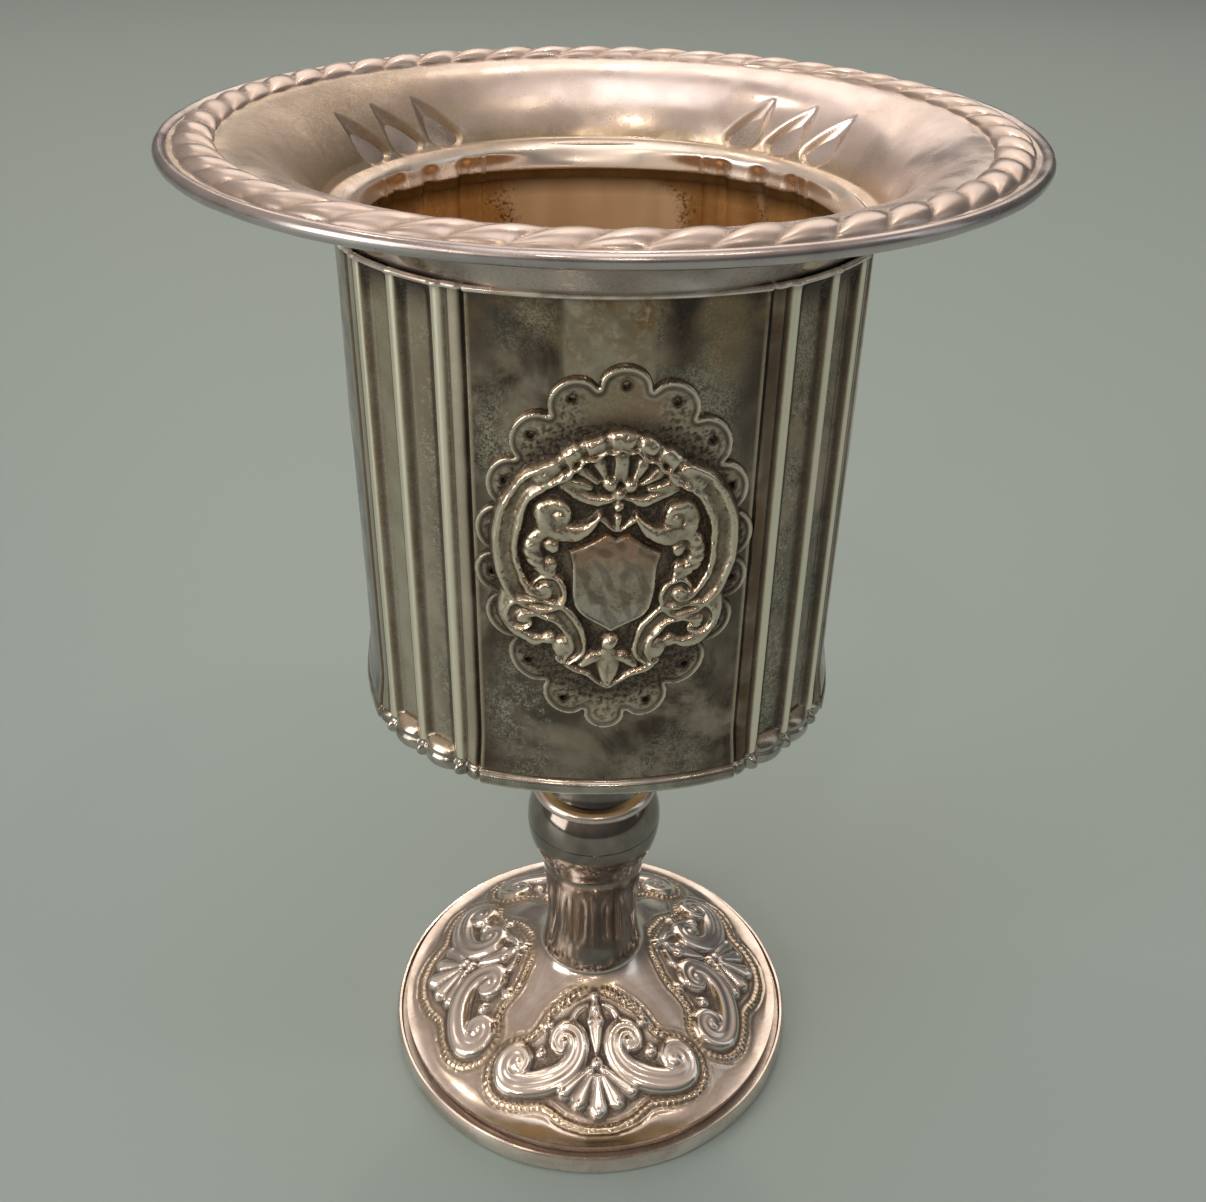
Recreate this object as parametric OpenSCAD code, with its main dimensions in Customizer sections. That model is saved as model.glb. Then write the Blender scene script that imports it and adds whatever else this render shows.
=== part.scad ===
// Ceremonial goblet: a fluted straight-sided bowl with a wide everted rim, on a short
// knopped stem and a domed foot. The origin is the centre of the foot's resting face,
// +Z is up and the front plaque faces -Y. Sizes are in millimetres.

/* [Rim] */
// Height from the table to the top of the gadrooned border
total_h = 151; // [148:1:153]
// Outer radius of the rim
rim_r = 50.6; // [49.6:0.2:52]
// Radius of the wire rolled into the rim's edge
rim_wire_r = 0.85; // [0.6:0.05:0.9]
// Number of slanted lobes in the gadrooned border
gadroon_count = 52; // [40:1:60]
// Height of the gadroon lobes above the flange
gadroon_h = 1.3; // [0.8:0.1:1.4]
// Radial width of the gadrooned border
gadroon_w = 4.6; // [3.6:0.1:4.8]

/* [Bowl] */
// Height of the bowl's top edge, where the flange sits
bowl_top_z = 140.5; // [138:0.5:141]
// Height of the bowl's bottom edge
bowl_bottom_z = 76; // [75:0.5:80]
// Distance from the axis to the middle of each panel
panel_apothem = 32; // [31.5:0.1:32.2]
// Radius of curvature of the panels
panel_curve_r = 47; // [42:1:60]
// Radius at the crests of the corner ribs
rib_crest_r = 33.6; // [33.2:0.1:34]
// Depth of the flutes between the ribs
flute_depth = 1.2; // [0.6:0.1:1.3]
// Thickness of the sheet metal
sheet_t = 0.9; // [0.7:0.05:1]

/* [Plaques] */
// Height of the middle of the plaques
plaque_z = 108.9; // [104:0.5:112]
// Lean of the plaques, clockwise as seen from outside
plaque_lean = 2.3; // [-4:0.1:4]
// Thickness of the pierced plate
plate_t = 0.8; // [0.5:0.1:1]
// Radius of the pierced holes
pierce_r = 0.42; // [0.3:0.02:0.6]
// Height of the scrolls above the pierced plate
scroll_t = 1.4; // [1:0.1:1.8]

/* [Stem] */
// Radius at the stem's waist
stem_waist_r = 7.4; // [6.5:0.1:8]
// Radius at both ends of the stem tube
stem_end_r = 8.2; // [8:0.1:8.6]
// Radius of the knop at its widest
knop_r = 10.5; // [9.8:0.1:12]
// Radius of the tie rod, an M5 screw
rod_r = 2.5; // [2:0.1:3]

/* [Foot] */
// Outer radius of the foot ring
foot_r = 34.1; // [33.6:0.1:36]
// Height of the raised ornament above the dome
relief_h = 0.9; // [0.5:0.1:1.2]

/* [Hidden] */

$fn = 96;
quarters = [0:90:270];

// Heights of the joints, from the table upwards
ring_base_z = 2.6;
ring_top_z = 3.3;
margin_z = 3.7;
stem_bottom_z = 17;
stem_top_z = 36.5;
knop_mid_z = 44.8;
knop_top_z = 50;
neck_bottom_z = 52;
socket_z = bowl_bottom_z - 0.8;
floor_z = bowl_bottom_z + 0.3;
moulding_top_z = bowl_bottom_z + 2.6;

// Seat of the gadrooned border: a level stretch of the flange. The wire hangs a little
// lower, on the seat's outer edge.
seat_z = total_h - gadroon_h;
seat_in = [rim_r - 7.1, seat_z];
seat_out = [rim_r - 1.4, seat_z];
rim_wire_z = seat_z - 0.45;
gadroon_r = rim_r - 4.35;

// Corner ribs, as angles from the middle of a panel
rib_angles = [34, 45, 56];
rib_half_angle = 0.7;
panel_edge_x = 15.8;
panel_edge_angle = atan2(panel_edge_x, panel_y(panel_edge_x));

// ---------- Helpers ----------

function unit(v) = v / norm(v);

function reverse(p) = [for (i = [len(p) - 1:-1:0]) p[i]];

// Points on a cubic curve, without its last point when more follows
function curve(a, b, c, d, n, last = 1) =
    [for (i = [0:n - 1 + last])
        let (t = i / n, s = 1 - t)
        s * s * s * a + 3 * s * s * t * b + 3 * s * t * t * c + t * t * t * d];

// Points on a spiral about c, from radius and angle (r0, a0) to (r1, a1)
function spiral(c, r0, r1, a0, a1, n) =
    [for (i = [0:n])
        let (t = i / n, a = a0 + (a1 - a0) * t, r = r0 + (r1 - r0) * t)
        c + r * [cos(a), sin(a)]];

// Unit normal on the left of a path at its point i
function normal_at(p, i) =
    let (d = unit(p[min(i + 1, len(p) - 1)] - p[max(i - 1, 0)]))
    [-d[1], d[0]];

// A path moved to its left, by d0 at its start and d1 at its end
function shifted(p, d0, d1) =
    [for (i = [0:len(p) - 1]) p[i] + (d0 + (d1 - d0) * i / (len(p) - 1)) * normal_at(p, i)];

// Outline of a ribbon that follows a path, with its full widths at both ends
function ribbon(p, w0, w1) =
    concat(shifted(p, w0 / 2, w1 / 2), reverse(shifted(p, -w0 / 2, -w1 / 2)));

// Outline of a sheet on the right-hand side of a path
function sheet(p, t) = concat(p, reverse(shifted(p, -t, -t)));

function polar(r, a) = r * [cos(a), sin(a)];

module both_sides() {
    children();
    mirror([1, 0]) children();
}

// ---------- Rim ----------

module rim_wire() {
    color("silver")
    rotate_extrude()
    difference() {
        translate([rim_r - rim_wire_r, rim_wire_z]) circle(r = rim_wire_r, $fn = 32);
        translate([seat_out[0] - 2, rim_wire_z - 3]) square([2, 6]);
    }
}

// Height of the border at azimuth a and at a place u across it, from -1 to 1
function gadroon_height(a, u) =
    let (phase = gadroon_count * a + 150 * u)
    gadroon_h * sqrt(max(0, 1 - u * u)) * (0.45 + 0.55 * pow(abs(cos(phase / 2)), 0.7));

module gadroon_border() {
    steps = 5 * gadroon_count;
    across = [-1, -0.7, -0.3, 0.1, 0.5, 0.8, 1];
    m = len(across);
    function point(i, j) =
        let (a = 360 * i / steps, u = across[j], r = gadroon_r + u * gadroon_w / 2)
        [r * cos(a), r * sin(a), seat_z + gadroon_height(a, u)];
    points = [for (i = [0:steps - 1]) for (j = [0:m - 1]) point(i, j)];
    function at(i, j) = (i % steps) * m + j % m;
    faces = [
        for (i = [0:steps - 1])
        for (j = [0:m - 1])
        [at(i, j), at(i, j + 1), at(i + 1, j + 1), at(i + 1, j)]
    ];
    color("gainsboro") polyhedron(points, faces, convexity = 6);
}

// Spun flange: a tail inside the bowl's mouth, a rounded shoulder that ends in a crease
// over the bowl's edge, a trumpet-shaped flare and the level seat of the border
module rim_flange() {
    tail_r = 30.2;
    tail_out_r = 31;
    tail_low_z = bowl_top_z - 4.5;
    crease = [33, bowl_top_z + 0.5];
    under_in = seat_in - [0, sheet_t];
    under_out = seat_out - [0, sheet_t];
    top = concat(
        curve([tail_r, bowl_top_z - 2], [tail_r + 0.2, bowl_top_z - 0.2],
              [tail_r + 1.2, bowl_top_z + 0.4], crease, 6, 0),
        curve(crease, crease + [1.4, 3.7], seat_in - [5.5, 0], seat_in, 10));
    under = curve([33, bowl_top_z], [34.9, bowl_top_z + 2.9],
                  under_in - [5.2, 0], under_in, 10);
    color("silver")
    rotate_extrude()
    polygon(concat(
        [[tail_r, tail_low_z]], top, [seat_out, under_out], reverse(under),
        [[tail_out_r, bowl_top_z], [tail_out_r, tail_low_z]]));
}

// ---------- Bowl ----------

// Distance forward from the axis of a panel's face at a sideways distance x
function panel_y(x) = panel_apothem - panel_curve_r + sqrt(panel_curve_r * panel_curve_r - x * x);

// Places between two ribs, or between a panel's edge and a rib, from 0 to 1
flute_steps = [0:1 / 6:0.999];

// Points of one flute between the angles a0 and a1, of the given depth
function flute(a0, a1, depth) =
    [for (t = flute_steps)
        polar(rib_crest_r - depth * pow(sin(180 * t), 0.8), a0 + (a1 - a0) * t)];

// One quarter of the bowl's outline, from the middle of one panel to the next.
// hollow scales the flutes' depth: 1 gives flutes, and a negative value gives bulges.
function quarter_outline(hollow) =
    let (depth = flute_depth * hollow)
    concat(
        [for (x = [0:panel_edge_x / 5:panel_edge_x + 0.01]) [panel_y(x), x]],
        flute(panel_edge_angle + 0.6, rib_angles[0] - rib_half_angle, depth * 0.5),
        flute(rib_angles[0] + rib_half_angle, rib_angles[1] - rib_half_angle, depth),
        flute(rib_angles[1] + rib_half_angle, rib_angles[2] - rib_half_angle, depth),
        flute(rib_angles[2] + rib_half_angle, 90 - panel_edge_angle - 0.6, depth * 0.5),
        [for (x = [panel_edge_x:-panel_edge_x / 5:0.5]) [x, panel_y(x)]]);

function turned(p, a) = [p[0] * cos(a) - p[1] * sin(a), p[0] * sin(a) + p[1] * cos(a)];

// The whole outline, grown by grow in the direction away from the axis
function bowl_outline(hollow, grow) =
    [for (q = quarters) for (p = quarter_outline(hollow)) turned(p + grow * unit(p), q)];

module bowl_wall() {
    color("darkgray")
    translate([0, 0, moulding_top_z])
    linear_extrude(bowl_top_z - moulding_top_z)
    difference() {
        polygon(bowl_outline(1, 0));
        polygon(bowl_outline(1, -sheet_t));
    }
}

// Flat wire around the bowl's top edge, under the flange
module neck_ring() {
    wire_h = 0.8;
    color("silver")
    translate([0, 0, bowl_top_z - wire_h])
    linear_extrude(wire_h)
    difference() {
        polygon(bowl_outline(1, 0.5));
        polygon(bowl_outline(1, 0));
    }
}

// Drawn moulding around the bowl's bottom edge: a lip that swells under each flute,
// and a shallow groove above it
module base_moulding() {
    lip_h = 1.6;
    color("rosybrown")
    translate([0, 0, bowl_bottom_z]) {
        linear_extrude(lip_h)
        difference() {
            polygon(bowl_outline(-0.35, 0.7));
            polygon(bowl_outline(1, -sheet_t));
        }
        translate([0, 0, lip_h])
        linear_extrude(moulding_top_z - bowl_bottom_z - lip_h)
        difference() {
            polygon(bowl_outline(1, 0.15));
            polygon(bowl_outline(1, -sheet_t));
        }
    }
}

module bowl_floor() {
    color("goldenrod")
    translate([0, 0, floor_z])
    linear_extrude(1)
    polygon(bowl_outline(1, -sheet_t));
}

// Boss under the bowl: a disc with a blind socket for the tie rod
module bowl_socket() {
    color("silver")
    rotate_extrude()
    polygon([
        [0, socket_z - 0.2], [rod_r, socket_z - 0.2], [rod_r, socket_z - 8], [rod_r + 2, socket_z - 8],
        [rod_r + 2.6, socket_z - 1.2], [rod_r + 2.6, socket_z], [11.4, socket_z],
        [11.4, floor_z - 0.3], [11, floor_z], [0, floor_z]
    ]);
}

// ---------- Plaques ----------

// Part of a shell that lies against the front panel, from height h0 to h1 above it,
// cut to the outline of the children
module on_front_panel(h0, h1) {
    intersection() {
        translate([0, 0, plaque_z])
        rotate([90, 0, 0])
        rotate(-plaque_lean)
        linear_extrude(60)
        children();
        translate([0, panel_curve_r - panel_apothem, plaque_z - 40])
        difference() {
            cylinder(r = panel_curve_r + h1, h = 80, $fn = 180);
            translate([0, 0, -1]) cylinder(r = panel_curve_r + h0, h = 82, $fn = 180);
        }
    }
}

// The pierced plate's rim has 18 lobes on an egg-shaped line
lobe_count = 18;
lobe_h = 3;
egg_w = 12.8;
egg_h = 20.2;
egg_middle = 0.9;

// The lobes crowd a little towards the sides, more so in the lower half
function egg_point(a) =
    let (crowding = sin(a) < 0 ? 8 : 5, t = a - crowding * sin(2 * a), y = sin(t))
    [egg_w * cos(t) * (y < 0 ? 1 - 0.25 * y * y : 1), egg_middle + egg_h * y];

// Outward direction of the egg-shaped line at the angle a
function egg_normal(a) =
    let (d = unit(egg_point(a + 1) - egg_point(a - 1)))
    [d[1], -d[0]];

// One rim lobe: an arch of points standing on the line around the angle a
function rim_lobe(a) =
    let (half = 180 / lobe_count)
    [for (u = [-1:0.25:0.76])
        egg_point(a + half * u) + lobe_h * sqrt(1 - 0.9 * u * u) * egg_normal(a + half * u)];

module pierced_outline() {
    polygon([for (i = [0:lobe_count - 1]) each rim_lobe(90 + i * 360 / lobe_count)]);
}

// Pins that pierce the lobes, all but the lowest one
module piercing_pins() {
    for (i = [0:lobe_count - 1])
        if (i != lobe_count / 2)
            let (a = 90 + i * 360 / lobe_count, p = egg_point(a) + 0.9 * egg_normal(a))
            translate([0, 0, plaque_z])
            rotate([90, 0, 0])
            rotate(-plaque_lean)
            translate(p)
            cylinder(r = pierce_r, h = 60, $fn = 24);
}

module pierced_plate() {
    color("gray")
    difference() {
        on_front_panel(0, plate_t) pierced_outline();
        piercing_pins();
    }
}

// Large C-scroll at the side of the frame, ending in the lower volute
side_scroll = concat(
    curve([6, 12.5], [11.4, 10.4], [13, 4.5], [12, 0], 8, 0),
    curve([12, 0], [11.3, -2.8], [9.6, -4.4], [7.6, -4.4], 4, 0),
    spiral([7.6, -2.6], 1.8, 0.7, -90, -400, 14));

// Comma-shaped scroll beside the shield's top, ending in the upper volute
upper_scroll = concat(
    curve([1.7, 7.7], [2.6, 5], [4.4, 3.9], [6.2, 4.5], 6, 0),
    spiral([6.25, 6.4], 1.85, 0.75, -80, 210, 12));

// Small hook between the upper and the lower volute
middle_hook = curve([6.8, 4.1], [9.8, 4.4], [9.4, 0.4], [7.8, 0.1], 6);

// Leaf scroll under the shield, between its two volutes
lower_scroll = concat(
    reverse(spiral([9.4, -7.4], 1.6, 0.6, 100, -200, 12)),
    curve([8.6, -5.5], [4.6, -4.8], [2.6, -7.4], [3, -10.2], 8, 0),
    curve([3, -10.2], [3.2, -12.4], [5.4, -12.6], [5.8, -10.8], 5));

module scroll_lines() {
    both_sides() {
        polygon(ribbon(side_scroll, 2.6, 0.7));
        polygon(ribbon(upper_scroll, 1, 0.7));
        polygon(ribbon(middle_hook, 0.8, 1));
        polygon(ribbon(lower_scroll, 0.8, 1.2));
        translate([4.8, -10.6]) circle(r = 0.9, $fn = 24);
        translate([0.95, 9.9]) circle(r = 0.86, $fn = 24);
    }
    translate([0, 7.7]) circle(r = 0.65, $fn = 20);
    translate([0, -9.6]) circle(r = 1, $fn = 24);
    polygon([[0, -15.4], [1.1, -13.4], [1.5, -11.4], [0, -10.9], [-1.5, -11.4], [-1.1, -13.4]]);
    for (x = [-6:2:6])
        translate([x, 15.1 - 0.085 * x * x]) circle(r = 1.25, $fn = 24);
}

module frame_ground() {
    polygon([for (a = [0:10:350]) [13.5 * cos(a), (a < 180 ? 16.6 : 15.6) * sin(a)]]);
}

module scroll_frame() {
    ground_h = plate_t + 0.4;
    color("darkkhaki") {
        on_front_panel(plate_t, ground_h) frame_ground();
        on_front_panel(plate_t + 0.2, plate_t + scroll_t) scroll_lines();
    }
}

// Blank shield with two small peaks at the top and a pointed foot
module shield_outline() {
    side = concat(
        [[0, 4.5], [1.3, 5.1], [2.4, 4.2]],
        [[5.3, 2.6]],
        curve([4.9, 1.2], [4.7, -1.2], [4.9, -5.4], [0, -7.7], 7));
    polygon(concat(side, reverse([for (i = [1:len(side) - 2]) [-side[i][0], side[i][1]]])));
}

module blank_shield() {
    color("gray") on_front_panel(plate_t + 0.4, plate_t + 1.2) shield_outline();
}

module pierced_plate_front() { pierced_plate(); }
module scroll_frame_front() { scroll_frame(); }
module blank_shield_front() { blank_shield(); }
module pierced_plate_back() { rotate(180) pierced_plate(); }
module scroll_frame_back() { rotate(180) scroll_frame(); }
module blank_shield_back() { rotate(180) blank_shield(); }

// ---------- Stem ----------

// A turned tube with the given outer profile, its wall on the side towards the axis
module turned_shell(profile) {
    inside = [for (p = profile) [p[0] - sheet_t, p[1]]];
    rotate_extrude() polygon(concat(profile, reverse(inside)));
}

module stem_tube() {
    waist_z = 24.5;
    color("dimgray")
    turned_shell(concat(
        curve([stem_end_r, stem_bottom_z], [stem_end_r - 0.3, 19.5],
              [stem_waist_r, waist_z - 3], [stem_waist_r, waist_z], 6, 0),
        curve([stem_waist_r, waist_z], [stem_waist_r, waist_z + 5],
              [stem_end_r - 0.2, stem_top_z - 4], [stem_end_r, stem_top_z], 8)));
}

module knop_lower_shell() {
    color("gray")
    turned_shell(curve([stem_end_r, stem_top_z], [stem_end_r + 0.8, stem_top_z + 2.6],
                       [knop_r, knop_mid_z - 4.2], [knop_r, knop_mid_z], 10));
}

module knop_upper_shell() {
    color("gray")
    turned_shell(curve([knop_r, knop_mid_z], [knop_r, knop_mid_z + 2.6],
                       [knop_r - 0.9, knop_top_z - 1.2], [knop_r - 1.6, knop_top_z], 8));
}

module knop_collar() {
    color("silver")
    rotate_extrude()
    polygon(concat(
        [[6, knop_top_z], [knop_r - 1.6, knop_top_z]],
        curve([knop_r - 1.3, knop_top_z + 0.1], [knop_r - 0.4, knop_top_z + 0.5],
              [knop_r - 0.6, neck_bottom_z - 0.3], [knop_r - 1.8, neck_bottom_z], 6),
        [[6, neck_bottom_z]]));
}

module stem_neck() {
    narrow_r = stem_waist_r - 0.8;
    color("dimgray")
    turned_shell(concat(
        curve([narrow_r + 1.2, neck_bottom_z], [narrow_r + 0.2, neck_bottom_z + 2],
              [narrow_r, neck_bottom_z + 5], [narrow_r, neck_bottom_z + 9], 6, 0),
        curve([narrow_r, neck_bottom_z + 9], [narrow_r, socket_z - 6],
              [narrow_r + 1.8, socket_z - 2], [narrow_r + 3.8, socket_z], 8)));
}

// ---------- Foot ----------

cone_in = [12.5, 13.7];
cone_out = [29, 5.3];
dome_edge = [32, 4.6];
dome_path = concat(
    [[stem_end_r, stem_bottom_z]],
    curve([stem_end_r, stem_bottom_z - 0.4], [stem_end_r + 0.3, 15.9], [10.4, 14.8], cone_in, 6),
    curve(cone_out, [30, 4.9], [31, 4.65], dome_edge, 4));

// Big S-scroll of a foot ornament, with a volute at both ends. x is sideways and y is
// the distance from the axis.
foot_scroll = concat(
    reverse(spiral([5.4, 17.7], 2, 0.8, 180, 430, 10)),
    curve([3.4, 18.2], [3.6, 21.4], [7, 23.2], [10, 23], 6, 0),
    curve([10, 23], [12.4, 22.9], [13.8, 22.2], [14.5, 20.6], 5, 0),
    spiral([12.6, 19.5], 2.2, 0.8, 30, -210, 10));

module foot_ornament() {
    both_sides() {
        polygon(ribbon(foot_scroll, 0.9, 0.9));
        translate([4.2, 25]) circle(r = 1.4, $fn = 24);
    }
    translate([0, 26.2]) circle(r = 1.6, $fn = 24);
    polygon([[0, 11], [1.3, 14.5], [0.5, 18], [0, 24], [-0.5, 18], [-1.3, 14.5]]);
}

module foot_dome() {
    color("tan") {
        rotate_extrude()
        polygon(sheet(dome_path, sheet_t));
        intersection() {
            for (q = quarters)
                rotate(q + 180) linear_extrude(20) foot_ornament();
            rotate_extrude()
            polygon(ribbon(shifted(dome_path, 0.3, 0.3), relief_h, relief_h));
        }
    }
}

module foot_step_ring() {
    color("saddlebrown")
    rotate_extrude()
    translate([dome_edge[0] - 1, ring_base_z])
    square([0.8, margin_z - ring_base_z]);
}

module foot_ring() {
    inner_r = dome_edge[0] - 1;
    groove_r = foot_r - 1.1;
    color("rosybrown")
    rotate_extrude()
    polygon(concat(
        [[inner_r, 0], [foot_r - 0.8, 0]],
        curve([foot_r - 0.6, 0.1], [foot_r + 0.1, 0.5],
              [foot_r + 0.1, ring_top_z - 0.7], [foot_r - 0.7, ring_top_z], 6),
        [[groove_r, ring_top_z], [groove_r, ring_base_z], [inner_r, ring_base_z]]));
}

// ---------- Tie rod and its clamp under the foot ----------

clamp_z = 10.4;
washer_t = 1;
nut_t = 3;

module tie_rod() {
    color("peru")
    translate([0, 0, clamp_z - washer_t - nut_t - 1])
    cylinder(r = rod_r, h = socket_z - 0.2 - (clamp_z - washer_t - nut_t - 1));
}

// Height of the dome's underside on its cone, at a distance r from the axis
function under_dome_z(r) =
    let (d = unit(cone_out - cone_in), p = cone_in + sheet_t * [d[1], -d[0]])
    p[1] + (r - p[0]) * d[1] / d[0];

module clamp_plate() {
    color("peru")
    rotate_extrude()
    polygon([
        [rod_r + 0.3, clamp_z], [14.5, clamp_z], [14.5, under_dome_z(14.5)],
        [13, under_dome_z(13)], [11.6, clamp_z + 1.2], [rod_r + 0.3, clamp_z + 1.2]
    ]);
}

module clamp_washer() {
    color("silver")
    translate([0, 0, clamp_z - washer_t])
    difference() {
        cylinder(r = 5.5, h = washer_t);
        translate([0, 0, -1]) cylinder(r = rod_r + 0.15, h = washer_t + 2);
    }
}

module clamp_nut() {
    color("goldenrod")
    translate([0, 0, clamp_z - washer_t - nut_t])
    difference() {
        cylinder(r = 4.6, h = nut_t, $fn = 6);
        translate([0, 0, -1]) cylinder(r = rod_r, h = nut_t + 2);
    }
}

rim_wire();
gadroon_border();
rim_flange();
neck_ring();
bowl_wall();
base_moulding();
bowl_floor();
bowl_socket();
pierced_plate_front();
scroll_frame_front();
blank_shield_front();
pierced_plate_back();
scroll_frame_back();
blank_shield_back();
stem_neck();
knop_collar();
knop_upper_shell();
knop_lower_shell();
stem_tube();
foot_dome();
foot_step_ring();
foot_ring();
tie_rod();
clamp_plate();
clamp_washer();
clamp_nut();
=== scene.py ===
"""Ceremonial goblet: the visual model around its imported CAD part.

Every shape is worked out in millimetres, in the CAD frame: the origin is the centre of the
foot's resting face, +Z is up and the front plaque faces -Y. Meshes are written in metres.
"""

import math
from functools import reduce

import bpy
import numpy as np
from mathutils import Matrix, Vector


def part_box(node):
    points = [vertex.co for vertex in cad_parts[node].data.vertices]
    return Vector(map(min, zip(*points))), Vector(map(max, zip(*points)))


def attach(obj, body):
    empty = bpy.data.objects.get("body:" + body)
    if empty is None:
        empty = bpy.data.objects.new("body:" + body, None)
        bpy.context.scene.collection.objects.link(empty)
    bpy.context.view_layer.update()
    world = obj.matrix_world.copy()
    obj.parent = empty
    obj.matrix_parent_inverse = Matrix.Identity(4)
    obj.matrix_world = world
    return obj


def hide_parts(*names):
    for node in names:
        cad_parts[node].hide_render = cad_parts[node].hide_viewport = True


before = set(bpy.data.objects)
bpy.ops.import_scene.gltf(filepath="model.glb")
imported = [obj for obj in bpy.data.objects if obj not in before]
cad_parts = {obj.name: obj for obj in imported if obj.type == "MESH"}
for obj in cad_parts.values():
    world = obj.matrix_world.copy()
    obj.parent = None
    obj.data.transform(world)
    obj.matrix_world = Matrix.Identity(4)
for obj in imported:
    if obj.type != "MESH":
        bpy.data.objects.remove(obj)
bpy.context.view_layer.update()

MM = 0.001

# ---------- Sizes taken from the CAD frame ----------


def low(node):
    """Lowest height of a CAD node, in millimetres."""
    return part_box(node)[0][2] / MM


def high(node, axis=2):
    """Highest coordinate of a CAD node along an axis, in millimetres."""
    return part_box(node)[1][axis] / MM


def radii(node):
    """Smallest and largest distance of a CAD node's points from the axis, in millimetres."""
    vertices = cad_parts[node].data.vertices
    co = np.empty(len(vertices) * 3)
    vertices.foreach_get("co", co)
    r = np.hypot(co[0::3], co[1::3]) / MM
    return r.min(), r.max()


TOTAL_H = high("gadroon_border")
SEAT_Z = low("gadroon_border")
RIM_R = radii("rim_wire")[1]
WIRE_R = (high("rim_wire") - low("rim_wire")) / 2
TAIL_R, SEAT_R = radii("rim_flange")
TAIL_LOW = low("rim_flange")
GADROON_IN, GADROON_OUT = radii("gadroon_border")
BOWL_TOP = high("bowl_wall")
BOWL_LOW = low("base_moulding")
MOULDING_TOP = low("bowl_wall")
APOTHEM = high("bowl_wall", 0)
RIB_R = radii("bowl_wall")[1]
FLOOR_LOW = low("bowl_floor")
FLOOR_TOP = high("bowl_floor")
KNOP_R = radii("knop_lower_shell")[1]
KNOP_MID = high("knop_lower_shell")
KNOP_TOP = high("knop_upper_shell")
COLLAR_R = radii("knop_collar")[1]
COLLAR_TOP = high("knop_collar")
STEM_END_R = radii("stem_tube")[1]
STEM_LOW = low("stem_tube")
STEM_TOP = high("stem_tube")
STEM_WAIST_R = STEM_END_R - 0.8
NECK_TOP = high("stem_neck")
NECK_WIDE_R = radii("stem_neck")[1]
FOOT_R = radii("foot_ring")[1]
FOOT_RING_H = high("foot_ring")
STEP_IN, STEP_OUT = radii("foot_step_ring")
STEP_LOW = low("foot_step_ring")
DOME_IN = STEM_END_R
DOME_OUT = radii("foot_dome")[1]
DOME_EDGE_Z = 4.6                # height of the dome's outer edge
DOME_ROWS = 760                  # lines of points round the foot's dome
FLOOR_RADIUS_M = 4.0             # the studio floor, in metres

SHEET = 0.9                      # thickness of the sheet metal
GADROONS = 52                    # lobes in the rope border
PANEL_CURVE_R = 1.47 * APOTHEM   # radius of curvature of the panels
PANEL_EDGE = 28.4                # angle from a panel's middle to its edge
RIBS = (34, 45, 56)              # angles of the corner ribs from the middle of a panel
RIB_HALF = 0.62                  # half-width of a rib's crest
FLUTE_DEPTH = 1.2                # depth of a flute below the ribs' crests
FLANGE_SCOOPS = (29, 40, 51)     # their angles from the X axis, mirrored into each corner
CREASE = np.array([TAIL_R + 2.8, BOWL_TOP + 0.5])   # where the flange's flare starts

PLATE_H = 0.8                    # height of the pierced plate above the panel
GROUND_H = 1.2                   # height of the scroll frame's ground
SHIELD_H = 2.0                   # height of the shield
SCROLL_H = 2.2                   # greatest height of the scrolls
PLAQUE_LEAN = math.radians(2.3)  # the plaque's turn, its top to the right
EGG_W, EGG_H = 12.8, 20.2        # half-width and half-height of the plate without its lobes
EGG_MIDDLE = 0.9
LOBES = 18                       # lobes round the pierced plate
LOBE_H = 3.0                     # how far a lobe stands out
PIERCE_R = 0.42                  # radius of the hole in each lobe
PLAQUE_Z = (low("pierced_plate_front") + high("pierced_plate_front")) / 2 - EGG_MIDDLE


# ---------- Curves ----------


def bezier(a, b, c, d, count):
    """Points on a cubic curve."""
    t = np.linspace(0, 1, count)[:, None]
    a, b, c, d = (np.asarray(p, float) for p in (a, b, c, d))
    return (1 - t) ** 3 * a + 3 * (1 - t) ** 2 * t * b + 3 * (1 - t) * t ** 2 * c + t ** 3 * d


def spiral(centre, r0, r1, a0, a1, count):
    """Points on a spiral, from radius and angle (r0, a0) to (r1, a1), with angles in degrees."""
    t = np.linspace(0, 1, count)
    a = np.radians(a0 + (a1 - a0) * t)
    r = r0 + (r1 - r0) * t
    return np.array(centre) + np.stack([r * np.cos(a), r * np.sin(a)], -1)


def through(points):
    """A smooth line through the given points, in six steps from each to the next."""
    p = np.asarray(points, float)
    p = np.vstack([2 * p[0] - p[1], p, 2 * p[-1] - p[-2]])
    out = []
    for i in range(1, len(p) - 2):
        t = np.linspace(0, 1, 6, endpoint=False)[:, None]
        a, b, c, d = p[i - 1], p[i], p[i + 1], p[i + 2]
        out.append(0.5 * (2 * b + (c - a) * t + (2 * a - 5 * b + 4 * c - d) * t ** 2
                          + (3 * b - a - 3 * c + d) * t ** 3))
    return np.vstack(out + [p[-2:-1]])


def joined(*paths):
    """One path through several, each of which starts where the one before it ends."""
    return np.vstack([*(path[:-1] for path in paths[:-1]), paths[-1]])


def even(path, count):
    """The same path with evenly spaced points."""
    path = np.asarray(path, float)
    step = np.hypot(*np.diff(path, axis=0).T)
    s = np.concatenate([[0], np.cumsum(step)])
    at = np.linspace(0, s[-1], count)
    return np.stack([np.interp(at, s, path[:, 0]), np.interp(at, s, path[:, 1])], -1)


def left_normals(path):
    """Unit normals on the left of a path."""
    d = np.gradient(np.asarray(path, float), axis=0)
    d /= np.hypot(d[:, 0], d[:, 1])[:, None]
    return np.stack([-d[:, 1], d[:, 0]], -1)


def smooth(x, start, end):
    """Smooth step from 0 at start to 1 at end."""
    t = np.clip((x - start) / (end - start), 0, 1)
    return t * t * (3 - 2 * t)


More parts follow.
